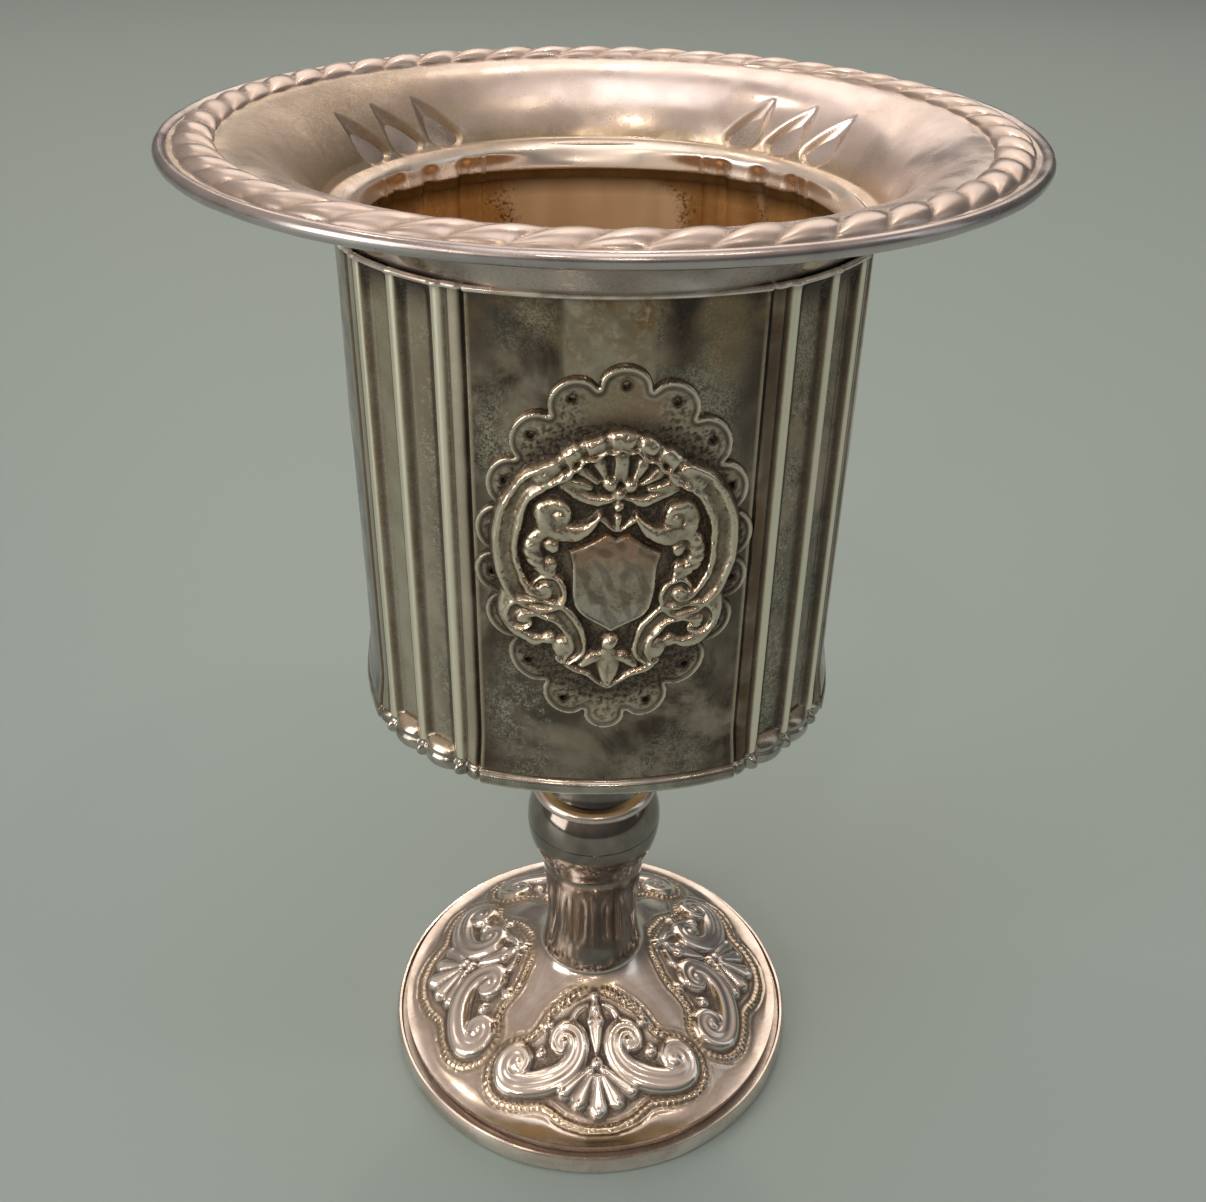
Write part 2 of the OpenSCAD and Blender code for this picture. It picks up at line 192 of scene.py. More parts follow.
def bump(x, centre, half):
    """Smooth bump of height 1 around a centre, 0 beyond half."""
    t = np.clip(np.abs(x - centre) / half, 0, 1)
    return (1 - t * t) ** 2


def rounded(x):
    """Half-circle of height 1 over x from -1 to 1, and 0 elsewhere."""
    return np.sqrt(np.clip(1 - x * x, 0, 1))


def waves(points, size, seed, count=9):
    """Smooth random field of about -1 to 1 with features of the given size."""
    rng = np.random.default_rng(seed)
    field = np.zeros(points.shape[:-1])
    for _ in range(count):
        direction = rng.normal(size=points.shape[-1])
        direction *= 2 * np.pi * rng.uniform(0.6, 1.5) / (size * np.linalg.norm(direction))
        field += np.sin(points @ direction + rng.uniform(0, 2 * np.pi))
    return field / math.sqrt(count)


def blotches(points, size, seed, middle=0.5, swing=0.5):
    """Smooth random field kept between 0 and 1."""
    return np.clip(middle + swing * waves(points, size, seed), 0, 1)


def blurred(height, radius):
    """Height field blurred by a round kernel of the given radius in cells."""
    half = int(math.ceil(2.5 * radius))
    kernel = np.exp(-0.5 * (np.arange(-half, half + 1) / radius) ** 2)
    kernel /= kernel.sum()
    out = height
    for axis in (0, 1):
        pad = [(0, 0), (0, 0)]
        pad[axis] = (half, half)
        wide = np.pad(out, pad, mode="edge")
        out = sum(k * np.take(wide, range(i, i + height.shape[axis]), axis=axis)
                  for i, k in enumerate(kernel))
    return out


# ---------- Meshes ----------


def grid_quads(rows, cols, wrap_rows=False, wrap_cols=False):
    """Quads between the points of a grid; a wrapped side joins its last line to its first."""
    r, c = np.meshgrid(np.arange(rows if wrap_rows else rows - 1),
                       np.arange(cols if wrap_cols else cols - 1), indexing="ij")
    r2, c2 = (r + 1) % rows, (c + 1) % cols
    return np.stack([r * cols + c, r * cols + c2, r2 * cols + c2, r2 * cols + c], -1).reshape(-1, 4)


def facing_out(points, faces):
    """The faces, reversed if they enclose a negative volume."""
    volume = 0.0
    for group in faces:
        a = points[group[:, 0]]
        for k in range(1, group.shape[1] - 1):
            volume += np.einsum("ij,ij->i", a, np.cross(points[group[:, k]],
                                                        points[group[:, k + 1]])).sum()
    return faces if volume > 0 else [group[:, ::-1] for group in faces]


def make_piece(name, points, faces, materials, replaces, marks=None, zones=None, crisp=42):
    """A closed mesh piece from an array of points in millimetres and groups of faces.

    marks holds values that the materials read, with the points' array shape, zones one
    material number per face, and crisp is the angle above which an edge is shaded sharp.
    """
    shape = points.shape[:-1]
    points = points.reshape(-1, 3)
    faces = facing_out(points, [g for g in faces if len(g)])
    sizes = np.concatenate([np.full(len(g), g.shape[1]) for g in faces])
    mesh = bpy.data.meshes.new(name)
    mesh.vertices.add(len(points))
    mesh.vertices.foreach_set("co", (points * MM).ravel())
    mesh.loops.add(int(sizes.sum()))
    mesh.loops.foreach_set("vertex_index", np.concatenate([g.ravel() for g in faces]))
    mesh.polygons.add(len(sizes))
    mesh.polygons.foreach_set("loop_start", np.concatenate([[0], np.cumsum(sizes)[:-1]]))
    mesh.polygons.foreach_set("use_smooth", np.ones(len(sizes), bool))
    for material in materials:
        mesh.materials.append(material)
    if zones is not None:
        mesh.polygons.foreach_set("material_index", zones)
    mesh.update(calc_edges=True)
    mesh.set_sharp_from_angle(angle=math.radians(crisp))
    for key, values in (marks or {}).items():
        layer = mesh.attributes.new(key, "FLOAT", "POINT")
        layer.data.foreach_set("value", np.broadcast_to(values, shape).astype(np.float32).ravel())
    piece = bpy.data.objects.new(name, mesh)
    bpy.context.scene.collection.objects.link(piece)
    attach(piece, "root")
    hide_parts(*replaces)


def full_turn(count):
    """Evenly spaced angles round the axis, in degrees."""
    return np.arange(count) * 360 / count


def around(r, z, angles):
    """Points of a surface round the axis: one row per angle, angles in degrees."""
    a = np.radians(angles)[:, None]
    r, z = np.broadcast_arrays(r, z)
    return np.stack([r * np.cos(a), r * np.sin(a), z + 0 * a], -1)


def ring_piece(name, points, materials, node, marks=None, zones=None, crisp=60):
    """A piece that goes all round the axis: each row of points is a closed section."""
    make_piece(name, points, [grid_quads(*points.shape[:2], True, True)], materials, [node],
               marks, zones, crisp)


def turned(name, profile, material, node, count=160, wobble=0.0012, marks=None):
    """A piece turned from a closed profile of (radius, height) points, slightly out of round."""
    profile = np.asarray(profile, float)
    points = around(profile[None, :, 0], profile[None, :, 1], full_turn(count))
    points[..., :2] *= 1 + wobble * waves(points, 14, 5)[..., None]
    ring_piece(name, points, [material], node, marks, crisp=42)


def shell_profile(path):
    """Closed profile of a sheet on the left of a path, with a third of the points inside."""
    inside = path + SHEET * left_normals(path)
    keep = sorted({*range(0, len(path), 3), len(path) - 1})
    return np.vstack([path, inside[keep][::-1]])


# ---------- Materials ----------


def add_node(tree, kind, inputs=None, **settings):
    """A shader node with its settings, and its inputs given as values or as sockets."""
    node = tree.nodes.new(kind)
    for key, value in settings.items():
        setattr(node, key, value)
    for key, value in (inputs or {}).items():
        if isinstance(value, bpy.types.NodeSocket):
            tree.links.new(value, node.inputs[key])
        else:
            node.inputs[key].default_value = value
    return node


def calc(operation, a, b, clamp=False):
    """Result of one operation on two values, of which at least one is a socket."""
    tree = (a if isinstance(a, bpy.types.NodeSocket) else b).id_data
    return add_node(tree, "ShaderNodeMath", {0: a, 1: b}, operation=operation,
                    use_clamp=clamp).outputs[0]


def product(*factors):
    """All the factors multiplied."""
    return reduce(lambda a, b: calc("MULTIPLY", a, b), factors)


def total(*terms):
    """All the terms added."""
    return reduce(lambda a, b: calc("ADD", a, b), terms)


def ramp(value, start, end, to_min=0.0, to_max=1.0):
    """Smooth step of a value between start and end."""
    return add_node(value.id_data, "ShaderNodeMapRange",
                    {"Value": value, "From Min": start, "From Max": end,
                     "To Min": to_min, "To Max": to_max},
                    interpolation_type="SMOOTHSTEP").outputs["Result"]


def mix(factor, a, b):
    """Colour between a and b, which are sockets or colours; factor is a socket."""
    node = add_node(factor.id_data, "ShaderNodeMix", {0: factor}, data_type="RGBA",
                    clamp_factor=True)
    for number, colour in ((6, a), (7, b)):
        if isinstance(colour, bpy.types.NodeSocket):
            factor.id_data.links.new(colour, node.inputs[number])
        else:
            node.inputs[number].default_value = (*colour, 1)
    return node.outputs[2]


def place(tree, stretch=(1, 1, 1)):
    """Object coordinates in millimetres, squeezed by the given factors."""
    coordinate = add_node(tree, "ShaderNodeTexCoord").outputs["Object"]
    return add_node(tree, "ShaderNodeMapping",
                    {"Vector": coordinate, "Scale": [s / MM for s in stretch]}).outputs["Vector"]


def noise(vector, size, detail, roughness, distortion=0.0):
    """Noise with features of the given size in millimetres."""
    return add_node(vector.id_data, "ShaderNodeTexNoise",
                    {"Vector": vector, "Scale": 1 / size, "Detail": detail,
                     "Roughness": roughness, "Distortion": distortion}).outputs["Fac"]


def mark(tree, name):
    """A value stored on the mesh's points."""
    return add_node(tree, "ShaderNodeAttribute", attribute_name=name).outputs["Fac"]


def new_material(name):
    """A new material, its node tree and its shader."""
    material = bpy.data.materials.new(name)
    material.use_nodes = True
    return material, material.node_tree, material.node_tree.nodes["Principled BSDF"]


def cover(shader, colour, gloss, relief):
    """Give the shader its colour, its roughness and its relief, a height in metres."""
    tree = shader.id_data
    normal = add_node(tree, "ShaderNodeBump", {"Height": relief, "Strength": 1.0, "Distance": 1.0})
    tree.links.new(colour, shader.inputs["Base Color"])
    tree.links.new(gloss, shader.inputs["Roughness"])
    tree.links.new(normal.outputs["Normal"], shader.inputs["Normal"])


def silver(name, clean, tarnish, rough, cloud_size, tarnish_amount, dust_amount=0.0,
           speck_size=0.35, streaks=0.0, dents=0.03, grain=0.004, metal=1.0,
           dust=(0.42, 0.39, 0.32), soot_and_shade=(0.045, 0.035, 0.028), warm=(0.50, 0.33, 0.16),
           bright=None, tint=None):
    """Silver plate: clean metal, clouds of tarnish, specks of dusty patina, blackened hollows,
    and painted shade and highlights.

    The four marks on a mesh say where it is rubbed bright or carries a painted highlight,
    where it is blackened or darkened with painted shade, where it is yellow-brown with
    tarnish (warm), and where it is covered with patina (dusty). bright is the colour of
    rubbed metal and of painted highlights, tint a second colour of tarnish in large patches,
    and metal how metallic the surface is where it is not blackened or painted dark.
    Sizes, dents and grain are in millimetres.
    """
    material, tree, shader = new_material(name)
    plain = place(tree)
    rub_and_sheen, soot_and_shade_mark, yellow, dusty = (mark(tree, key) for key in ("rub_and_sheen", "soot_and_shade", "warm", "dusty"))
    outside_rub_and_sheen = calc("SUBTRACT", 1.0, rub_and_sheen, clamp=True)
    clouds = noise(plain, cloud_size, 4, 0.6, 0.6)
    specks = noise(plain, speck_size, 3, 0.7)
    fine = noise(plain, speck_size * 3.1, 4, 0.65, 0.4)

    tarnished = product(ramp(clouds, 0.36, 0.62), tarnish_amount, outside_rub_and_sheen)
    colour = mix(tarnished, clean, tarnish)
    if tint:
        patches = ramp(noise(plain, 16, 3, 0.55, 0.5), 0.41, 0.64)
        colour = mix(product(patches, outside_rub_and_sheen), colour, tint)
    # Darker vertical streaks; on the stem they are painted reflection bands.
    if streaks:
        streak = ramp(noise(place(tree, (1, 1, 0.12)), 1.1, 4, 0.6), 0.45, 0.75)
        colour = mix(product(streak, streaks), colour, [0.55 * c for c in clean])
    # Rubbed metal and painted highlights take the bright colour.
    if bright:
        colour = mix(rub_and_sheen, colour, bright)
    colour = mix(product(yellow, ramp(fine, 0.25, 0.6, 0.35, 1.0)), colour, warm)

    patch = total(product(clouds, 0.55), product(fine, 0.45))
    dust_mask = product(ramp(patch, 0.42, 0.58), ramp(specks, 0.40, 0.58, 0.12, 1.0), outside_rub_and_sheen,
                        calc("ADD", dusty, dust_amount, clamp=True))
    colour = mix(dust_mask, colour, dust)
    pits = product(ramp(specks, 0.60, 0.70), ramp(clouds, 0.48, 0.60), outside_rub_and_sheen,
                   0.8 * tarnish_amount)
    # Blackened hollows and painted shade take the dark colour.
    soot_and_shade_mask = product(soot_and_shade_mark, ramp(specks, 0.22, 0.58, 0.55, 1.0))
    soot_and_shade_mask = calc("MAXIMUM", soot_and_shade_mask, pits, clamp=True)
    colour = mix(soot_and_shade_mask, colour, soot_and_shade)

    smudge = noise(plain, cloud_size * 0.45, 3, 0.5)
    gloss = total(ramp(smudge, 0.3, 0.7, rough * 0.7, rough * 1.35), product(dust_mask, 0.26),
                  product(soot_and_shade_mask, 0.22))
    gloss = calc("ADD", gloss, product(tarnished, 0.05), clamp=True)
    relief = total(product(noise(plain, 5.5, 2, 0.5), dents * MM), product(specks, grain * MM),
                   product(soot_and_shade_mask, specks, -0.02 * MM))
    cover(shader, colour, gloss, relief)
    tree.links.new(ramp(soot_and_shade_mask, 0.0, 1.0, metal, 0.55), shader.inputs["Metallic"])
    return material


def gilt_inside():
    """Worn gilding: pale gold with brown streaks, paler scraped patches and dark specks.

    The mark scraped says where more is scraped bare, and the other mark where it is nearly
    black, a painted shadow under the flange.
    """
    material, tree, shader = new_material("worn_gilding")
    plain = place(tree)
    tall = place(tree, (1, 1, 0.16))
    scraped = total(product(noise(plain, 13, 4, 0.6, 0.5), 0.8),
                    product(mark(tree, "scraped"), 0.40), product(noise(plain, 0.8, 4, 0.7), 0.16))
    bare = ramp(scraped, 0.56, 0.74)
    streak = total(product(noise(tall, 3.0, 1, 0.4), 0.60),
                   product(noise(plain, 4.0, 5, 0.65), 0.40))
    colour = mix(ramp(streak, 0.36, 0.66), (0.93, 0.66, 0.32), (0.58, 0.36, 0.15))
    colour = mix(bare, colour, (1.0, 0.84, 0.59))
    dark = product(ramp(scraped, 0.54, 0.62), ramp(scraped, 0.76, 0.66),
                   ramp(noise(plain, 0.5, 3, 0.7), 0.50, 0.60), 0.75)
    # Nearly black where the mark says so: painted shadow under the flange.
    dark = calc("MAXIMUM", dark, mark(tree, "soot_and_shade"))
    colour = mix(dark, colour, (0.07, 0.04, 0.015))
    gloss = total(ramp(streak, 0.36, 0.66, 0.24, 0.34), product(bare, 0.10))
    cover(shader, colour, gloss, product(noise(plain, 3.5, 2, 0.5), 0.02 * MM))
    shader.inputs["Metallic"].default_value = 0.74
    return material


rim_metal = silver("rim_plate", (0.84, 0.735, 0.715), (0.62, 0.515, 0.465), rough=0.27,
                   cloud_size=13, tarnish_amount=0.6, dents=0.02, dust_amount=0.06,
                   dust=(0.62, 0.53, 0.45), speck_size=0.28, warm=(0.64, 0.49, 0.31),
                   soot_and_shade=(0.12, 0.085, 0.06), bright=(0.97, 0.88, 0.80), metal=0.9)
rope_metal = silver("rope_plate", (0.69, 0.59, 0.55), (0.48, 0.385, 0.345), rough=0.30,
                    cloud_size=8, tarnish_amount=0.6, dents=0.01, soot_and_shade=(0.30, 0.22, 0.185),
                    warm=(0.66, 0.50, 0.38), metal=0.9)
wire_metal = silver("wire_plate", (0.62, 0.56, 0.55), (0.42, 0.37, 0.37), rough=0.22,
                    cloud_size=12, tarnish_amount=0.6, dents=0.01)
bowl_metal = silver("bowl_plate", (0.44, 0.35, 0.275), (0.058, 0.037, 0.030), rough=0.15,
                    cloud_size=8, tarnish_amount=0.95, dust=(0.64, 0.60, 0.46), streaks=0.3,
                    dents=0.05, warm=(0.30, 0.18, 0.09), speck_size=0.25,
                    bright=(0.98, 0.88, 0.71), tint=(0.135, 0.108, 0.088))
crest_metal = silver("moulding_plate", (0.50, 0.475, 0.42), (0.22, 0.20, 0.17), rough=0.17,
                     cloud_size=5, tarnish_amount=0.85, warm=(0.42, 0.25, 0.16), dents=0.02,
                     bright=(0.80, 0.75, 0.66), speck_size=0.26)
plaque_metal = silver("plaque_plate", (0.60, 0.505, 0.40), (0.26, 0.20, 0.15), rough=0.17,
                      cloud_size=4, tarnish_amount=0.85, dust_amount=0.15,
                      dust=(0.50, 0.46, 0.34), dents=0.02, grain=0.010, speck_size=0.24,
                      soot_and_shade=(0.040, 0.029, 0.020), warm=(0.42, 0.29, 0.19),
                      bright=(0.92, 0.81, 0.65))
shield_metal = silver("shield_plate", (0.56, 0.50, 0.42), (0.24, 0.19, 0.145), rough=0.20,
                      cloud_size=2.2, tarnish_amount=0.9, dust_amount=0.25,
                      dust=(0.55, 0.46, 0.33), dents=0.03, grain=0.010, speck_size=0.30,
                      soot_and_shade=(0.040, 0.029, 0.020), warm=(0.50, 0.27, 0.17),
                      bright=(0.88, 0.81, 0.69))
# The stem's darker colours are painted shade, and its vertical streaks painted reflection bands.
stem_metal = silver("stem_plate", (0.36, 0.315, 0.28), (0.17, 0.145, 0.125), rough=0.07,
                    cloud_size=12, tarnish_amount=0.7, streaks=0.3, dents=0.02)
foot_metal = silver("foot_plate", (0.86, 0.77, 0.72), (0.60, 0.51, 0.46), rough=0.17,
                    cloud_size=8, tarnish_amount=0.55, dents=0.04, soot_and_shade=(0.13, 0.095, 0.07),
                    warm=(0.56, 0.44, 0.31), dust_amount=0.05, bright=(0.94, 0.86, 0.79),
                    speck_size=0.28)
ring_metal = silver("ring_plate", (0.90, 0.80, 0.73), (0.58, 0.46, 0.39), rough=0.22,
                    cloud_size=9, tarnish_amount=0.55, dents=0.02)
groove_metal = silver("groove_plate", (0.34, 0.25, 0.19), (0.16, 0.11, 0.08), rough=0.24,
                      cloud_size=7, tarnish_amount=0.35)
steel = silver("turned_steel", (0.50, 0.50, 0.50), (0.32, 0.27, 0.22), rough=0.28,
               cloud_size=3, tarnish_amount=0.8, dents=0.0)
brass = silver("dull_brass", (0.66, 0.52, 0.28), (0.40, 0.28, 0.14), rough=0.34,
               cloud_size=4, tarnish_amount=0.8, dents=0.01)
gilding = gilt_inside()


# ---------- Rim ----------


def corner_dense_angles(panel_steps=34, corner_steps=176):
    """Angles round the axis, in degrees, close together at the ribbed corners."""
    edge = PANEL_EDGE - 1.4
    quarter = np.concatenate([
        np.linspace(0, edge, panel_steps, endpoint=False),
        np.linspace(edge, 90 - edge, corner_steps, endpoint=False),
        np.linspace(90 - edge, 90, panel_steps, endpoint=False)])
    return np.concatenate([quarter + 90 * k for k in range(4)])


def scoop_depth(angles, climb):
    """Depth of the flame-shaped scoops pressed into the flange, three at each corner.

    climb is the distance up the flare from the crease. A scoop is widest near the crease,
    has a round foot there, and narrows to a tip that leans sideways.
    """
    length, half_width, depth, foot_share, middle_r, lean = 7.6, 3.0, 1.2, 0.24, 34.5, 5
    from_side = 90 - np.abs(angles % 180 - 90)
    u = np.clip((climb - 0.2) / length, 0, 1)
    taper = np.cos(np.pi / 2 * u)
    foot = rounded(1 - np.minimum(u / foot_share, 1))
    pushed_in = np.zeros(np.broadcast(angles, climb).shape)
    for scoop in FLANGE_SCOOPS:
        x = np.radians(from_side - scoop + lean * (u - 0.5)) * middle_r
        across = np.abs(x) / (half_width * taper ** 0.9 * foot ** 0.6 + 1e-3)
        pressed = depth * taper ** 0.6 * foot * np.clip(1 - across ** 2, 0, 1)
        pushed_in = pushed_in + pressed - 0.07 * taper * foot * bump(across, 1.12, 0.3)
    return pushed_in


def flange_profile(mouth_r, inside, lip_z):
    """The flange's upper side from its tail to the seat, its under side back, and the crease.

    The crease is given by the number of its point.
    """
    outside = mouth_r - 0.15
    seat_in, seat_out = np.array([SEAT_R - 5.7, SEAT_Z]), np.array([SEAT_R, SEAT_Z])
    drop, neck_r = np.array([0, -SHEET]), 33
    tail = [[outside - 0.12, TAIL_LOW + 0.1], [outside - 0.12, lip_z - 0.1],
            [inside + 0.1, lip_z - 0.05], [inside, lip_z + 0.1]]
    band = bezier([inside, lip_z + 0.2], [inside + 0.1, lip_z + 1.3],
                  [inside + 1.2, BOWL_TOP + 0.05], CREASE, 16)
    flare = even(bezier(CREASE, CREASE + [1.4, 3.7], seat_in - [5.5, 0], seat_in, 60), 48)
    top = np.vstack([tail, band, flare[1:], (seat_in + seat_out) / 2, seat_out])
    under = even(bezier([neck_r, BOWL_TOP], [neck_r + 1.9, BOWL_TOP + 2.9],
                        seat_in + drop - [5.2, 0], seat_in + drop, 60), 22)
    bottom = np.vstack([seat_out + drop, seat_in + drop + [1, 0], under[::-1],
                        [[mouth_r + 1.1, BOWL_TOP - 0.2], [mouth_r + 0.1, BOWL_TOP - 1.4],
                         [outside, BOWL_TOP - 2.1], [outside, TAIL_LOW + 0.1]]])
    return top, bottom, len(tail) + len(band) - 1


def flange_marks(points, r, z, climb, depth, on_top, lip_z):
    """Marks of the flange: scoops with painted shade in their lower part, heavier on the left,
    a warm crease, a rubbed band, a darker, browner left side that is painted shade, and a
    painted shadow on the tail under the band.
    """
    x, y = points[..., 0], points[..., 1]
    blotch = blotches(points[..., :2], 3.1, 21)
    flare = climb > 1
    # Painted shade: the left of the flare is made darker, browner and dustier.
    left = smooth(-x, 8, 30) * smooth(y, -40, -10) * on_top
    pressed = smooth(depth, 0.1, 0.6) * smooth(climb, 6.5, 2.5)
    # Painted shade in the lower part of each scoop, stronger on the left.
    scoop_shade_strength = 0.25 + 0.6 * smooth(-x, 0, 10)
    hole = smooth(depth, 0.3, 0.9) * smooth(climb, 5.2, 1.8) * (0.35 + 0.65 * blotch)
    neck = ~on_top * smooth(r, 38, 34)
    # The tail's top points below the band get a painted shadow.
    soot_and_shade = on_top * (scoop_shade_strength * hole + 0.8 * (z < lip_z + 0.15))
    warm = on_top * (0.75 * bump(climb, 0.3, 2.2) + 0.5 * pressed + 0.30 * bump(climb, 3, 4))
    rub_and_sheen = (0.9 * smooth(climb, -0.6, -1.4) + 0.5 * smooth(r, 41, 43.5)
           + 0.5 * smooth(depth, -0.02, -0.06))
    return {"soot_and_shade": soot_and_shade + 0.48 * left * flare * smooth(r, 44, 42)
                    + 0.7 * neck * blotches(points, 9, 22),
            "warm": warm + 0.8 * left * flare * (0.6 + 0.4 * blotch),
            "rub_and_sheen": on_top * rub_and_sheen, "dusty": 0.6 * neck + 0.5 * left}


def build_flange():
    """Flared flange: its tail in the bowl's mouth, rounded band, crease, trumpet and seat.

    The tail and the band's lower edge follow the bowl's panels and ribs.
    """
    mouth_r, lip_z = inner_radius(0.0), BOWL_TOP - 3.2
    inside = mouth_r - 0.62
    top, bottom, crease = flange_profile(mouth_r, inside, lip_z)
    profile = np.vstack([top, bottom])
    r, z = profile[None, :, 0], profile[None, :, 1]
    on_top = (np.arange(len(profile)) < len(top))[None, :]
    steps = np.hypot(*np.diff(profile, axis=0).T)
    climb = np.concatenate([[0], np.cumsum(steps)])[None, :] - steps[:crease].sum()

    angles = full_turn(840)[:, None]
    depth = scoop_depth(angles, climb) * on_top * (climb > 0.1)
    normal = np.vstack([left_normals(top), -left_normals(bottom)])
    reach = np.where(on_top & (z > lip_z), smooth(r, mouth_r + 0.5, inside),
                     smooth(r, CREASE[0], mouth_r))
    follow = (inner_radius(folded_angle(angles)) - mouth_r) * reach
    points = around(r - depth * normal[None, :, 0] + follow, z - depth * normal[None, :, 1],
                    angles[:, 0])
    uneven = smooth(r, 34, 38) * smooth(r, 43.5, 41)
    points[..., 2] += 0.05 * waves(points[..., :2], 12, 11) * uneven
    marks = flange_marks(points, r, z, climb, depth, on_top, lip_z)
    zones = np.zeros(points.shape[:2], np.int32)
    zones[:, 0] = zones[:, -2:] = 1   # the tail is gilded like the inside of the bowl
    ring_piece("flared_flange", points, [rim_metal, gilding], "rim_flange",
               marks, zones.ravel(), crisp=50)


def build_rope():
    """Rope border: slanted bean-shaped lobes with thin S-shaped valleys between them."""
    middle_r = (GADROON_IN + GADROON_OUT) / 2
    half_w = (GADROON_OUT - GADROON_IN) / 2
    lobe_h = TOTAL_H - SEAT_Z
    angles = full_turn(20 * GADROONS)
    u = np.sin(np.linspace(-np.pi / 2, np.pi / 2, 27))[None, :]
    phase = np.radians(GADROONS * angles[:, None] + 100 * u + 62 * u ** 3)
    valley = np.abs(np.cos(phase / 2))
    spread = np.clip(np.abs(u) / (0.90 + 0.10 * valley ** 0.5), 0, 1)
    height = lobe_h * np.sqrt(1 - spread ** 2) * (0.42 + 0.58 * valley ** 0.5) - 0.06
    empty = np.zeros((len(angles), 2))
    r = middle_r + np.hstack([u * half_w + 0 * height, empty + half_w * np.array([0.9, -0.9])])
    z = SEAT_Z + np.hstack([height, empty - 0.25])
    groove = np.clip(smooth(valley, 0.26, 0.04) + 0.4 * smooth(spread, 0.88, 1.0), 0, 1)
    warm = 0.2 * smooth(spread, 0.6, 1) + 0.2 * smooth(valley, 0.6, 0.2)
    marks = {"soot_and_shade": np.hstack([0.5 * groove, empty]), "warm": np.hstack([warm, empty]),
             "rub_and_sheen": np.hstack([smooth(height / lobe_h, 0.55, 0.95), empty])}
    ring_piece("rope_border", around(r, z, angles), [rope_metal],
               "gadroon_border", marks, crisp=180)


def build_wire():
    """Wire rolled into the rim's edge, worn slightly flat in places."""
    angles, turn = full_turn(480), np.radians(full_turn(20))[None, :]
    centre_r, centre_z = RIM_R - WIRE_R, low("rim_wire") + WIRE_R
    ring = around(np.array([[centre_r]]), np.array([[centre_z]]), angles)
    worn = 1 - 0.05 * smooth(waves(ring, 11, 3), 0.2, 1.2)
    points = around(centre_r + WIRE_R * worn * np.cos(turn),
                    centre_z + WIRE_R * worn * np.sin(turn), angles)
    ring_piece("rolled_wire", points, [wire_metal], "rim_wire", crisp=180)


# ---------- Bowl ----------


def folded_angle(angles):
    """Angle from the nearest panel's middle, 0 to 45 degrees."""
    return 45 - np.abs(angles % 90 - 45)


def arc_at(angle):
    """Distance round the bowl from a panel's middle, measured at the ribs' radius."""
    return np.radians(angle) * RIB_R


EDGE_ARC, FIRST_ARC, MIDDLE_ARC = (arc_at(a) for a in (PANEL_EDGE, *RIBS[:2]))


def rib_distance(arc):
    """Distance round the bowl to the nearest rib, for a folded position."""
    return np.minimum(np.abs(arc - FIRST_ARC), np.abs(arc - MIDDLE_ARC))


def panel_radius(angle):
    """Distance from the axis of the curved panel at an angle from its middle."""
    a = np.radians(angle)
    shift = PANEL_CURVE_R - APOTHEM
    return -shift * np.cos(a) + np.sqrt(PANEL_CURVE_R ** 2 - (shift * np.sin(a)) ** 2)


def corner_radius(arc, z, to_rib):
    """Outer surface between two panels: a plain strip beside each panel, then ribs and flutes."""
    crest_drop, half = 0.16, (MIDDLE_ARC - FIRST_ARC) / 2
    top_close = rounded(smooth(z, BOWL_TOP - 3.2, BOWL_TOP - 0.4))
    x = np.clip((to_rib - RIB_HALF) / (half - RIB_HALF), 0, 1)
    crest = crest_drop * np.clip(to_rib / RIB_HALF, 0, 1) ** 2
    hollow = (FLUTE_DEPTH - crest_drop) * (1 - (1 - x) ** 2.6) * top_close
    over_strip = np.clip((arc - EDGE_ARC) / (FIRST_ARC - EDGE_ARC - 0.5), 0, 1)
    strip = panel_radius(PANEL_EDGE) - 0.28 + 0.24 * np.sin(np.pi * over_strip)
    to_first = np.clip((FIRST_ARC - RIB_HALF - arc) / 0.35, 0, 1)
    strip = np.where(arc > FIRST_ARC - RIB_HALF, RIB_R - crest,
                     strip * to_first + (RIB_R - crest_drop) * (1 - to_first))
    return np.where(arc > FIRST_ARC, RIB_R - crest - hollow, strip)


def outer_radius(angle, z):
    """Outer surface of the bowl, at a folded angle and a height."""
    arc = arc_at(angle)
    to_rib = rib_distance(arc)
    groove = 0.4 * bump(arc, EDGE_ARC + 0.2, 0.42)
    panel = panel_radius(np.minimum(angle, PANEL_EDGE))
    r = np.where(arc < EDGE_ARC, panel, corner_radius(arc, z, to_rib)) - groove
    flare = 0.62 * smooth(z, BOWL_LOW + 8.5, BOWL_LOW + 2.6) ** 1.4
    r = r + flare * smooth(arc, FIRST_ARC + 0.5, EDGE_ARC)
    flute_half, flute_middle = (MIDDLE_ARC - FIRST_ARC) / 2, (FIRST_ARC + MIDDLE_ARC) / 2
    ball_end = (rounded((z - BOWL_LOW - 1.4) / 2.3)
                * rounded((arc - flute_middle) / (flute_half - 0.3)))
    r = np.where(arc > FIRST_ARC, np.maximum(r, RIB_R - 1.0 + 1.8 * ball_end), r)
    return r + 0.7 * bump(to_rib, 0, 0.95) * bump(z, BOWL_LOW + 1.0, 1.5)


def lip_radius(angle, z):
    """Outer surface of the moulding: a rounded lip below a narrow coppery groove."""
    r = outer_radius(angle, z)
    height = z - BOWL_LOW
    lip = 0.34 * rounded((height - 0.95) / 0.95)
    groove = 0.30 * bump(height, 2.15, 0.45)
    tuck = 0.7 * smooth(height, 0.35, 0.0)
    return r + (lip - groove - tuck) * (0.45 + 0.55 * smooth(angle, RIBS[0], PANEL_EDGE))


def inner_radius(angle):
    """Inner surface of the bowl, which repeats the flutes as they are at half its height."""
    return outer_radius(angle, (BOWL_LOW + BOWL_TOP) / 2) - SHEET


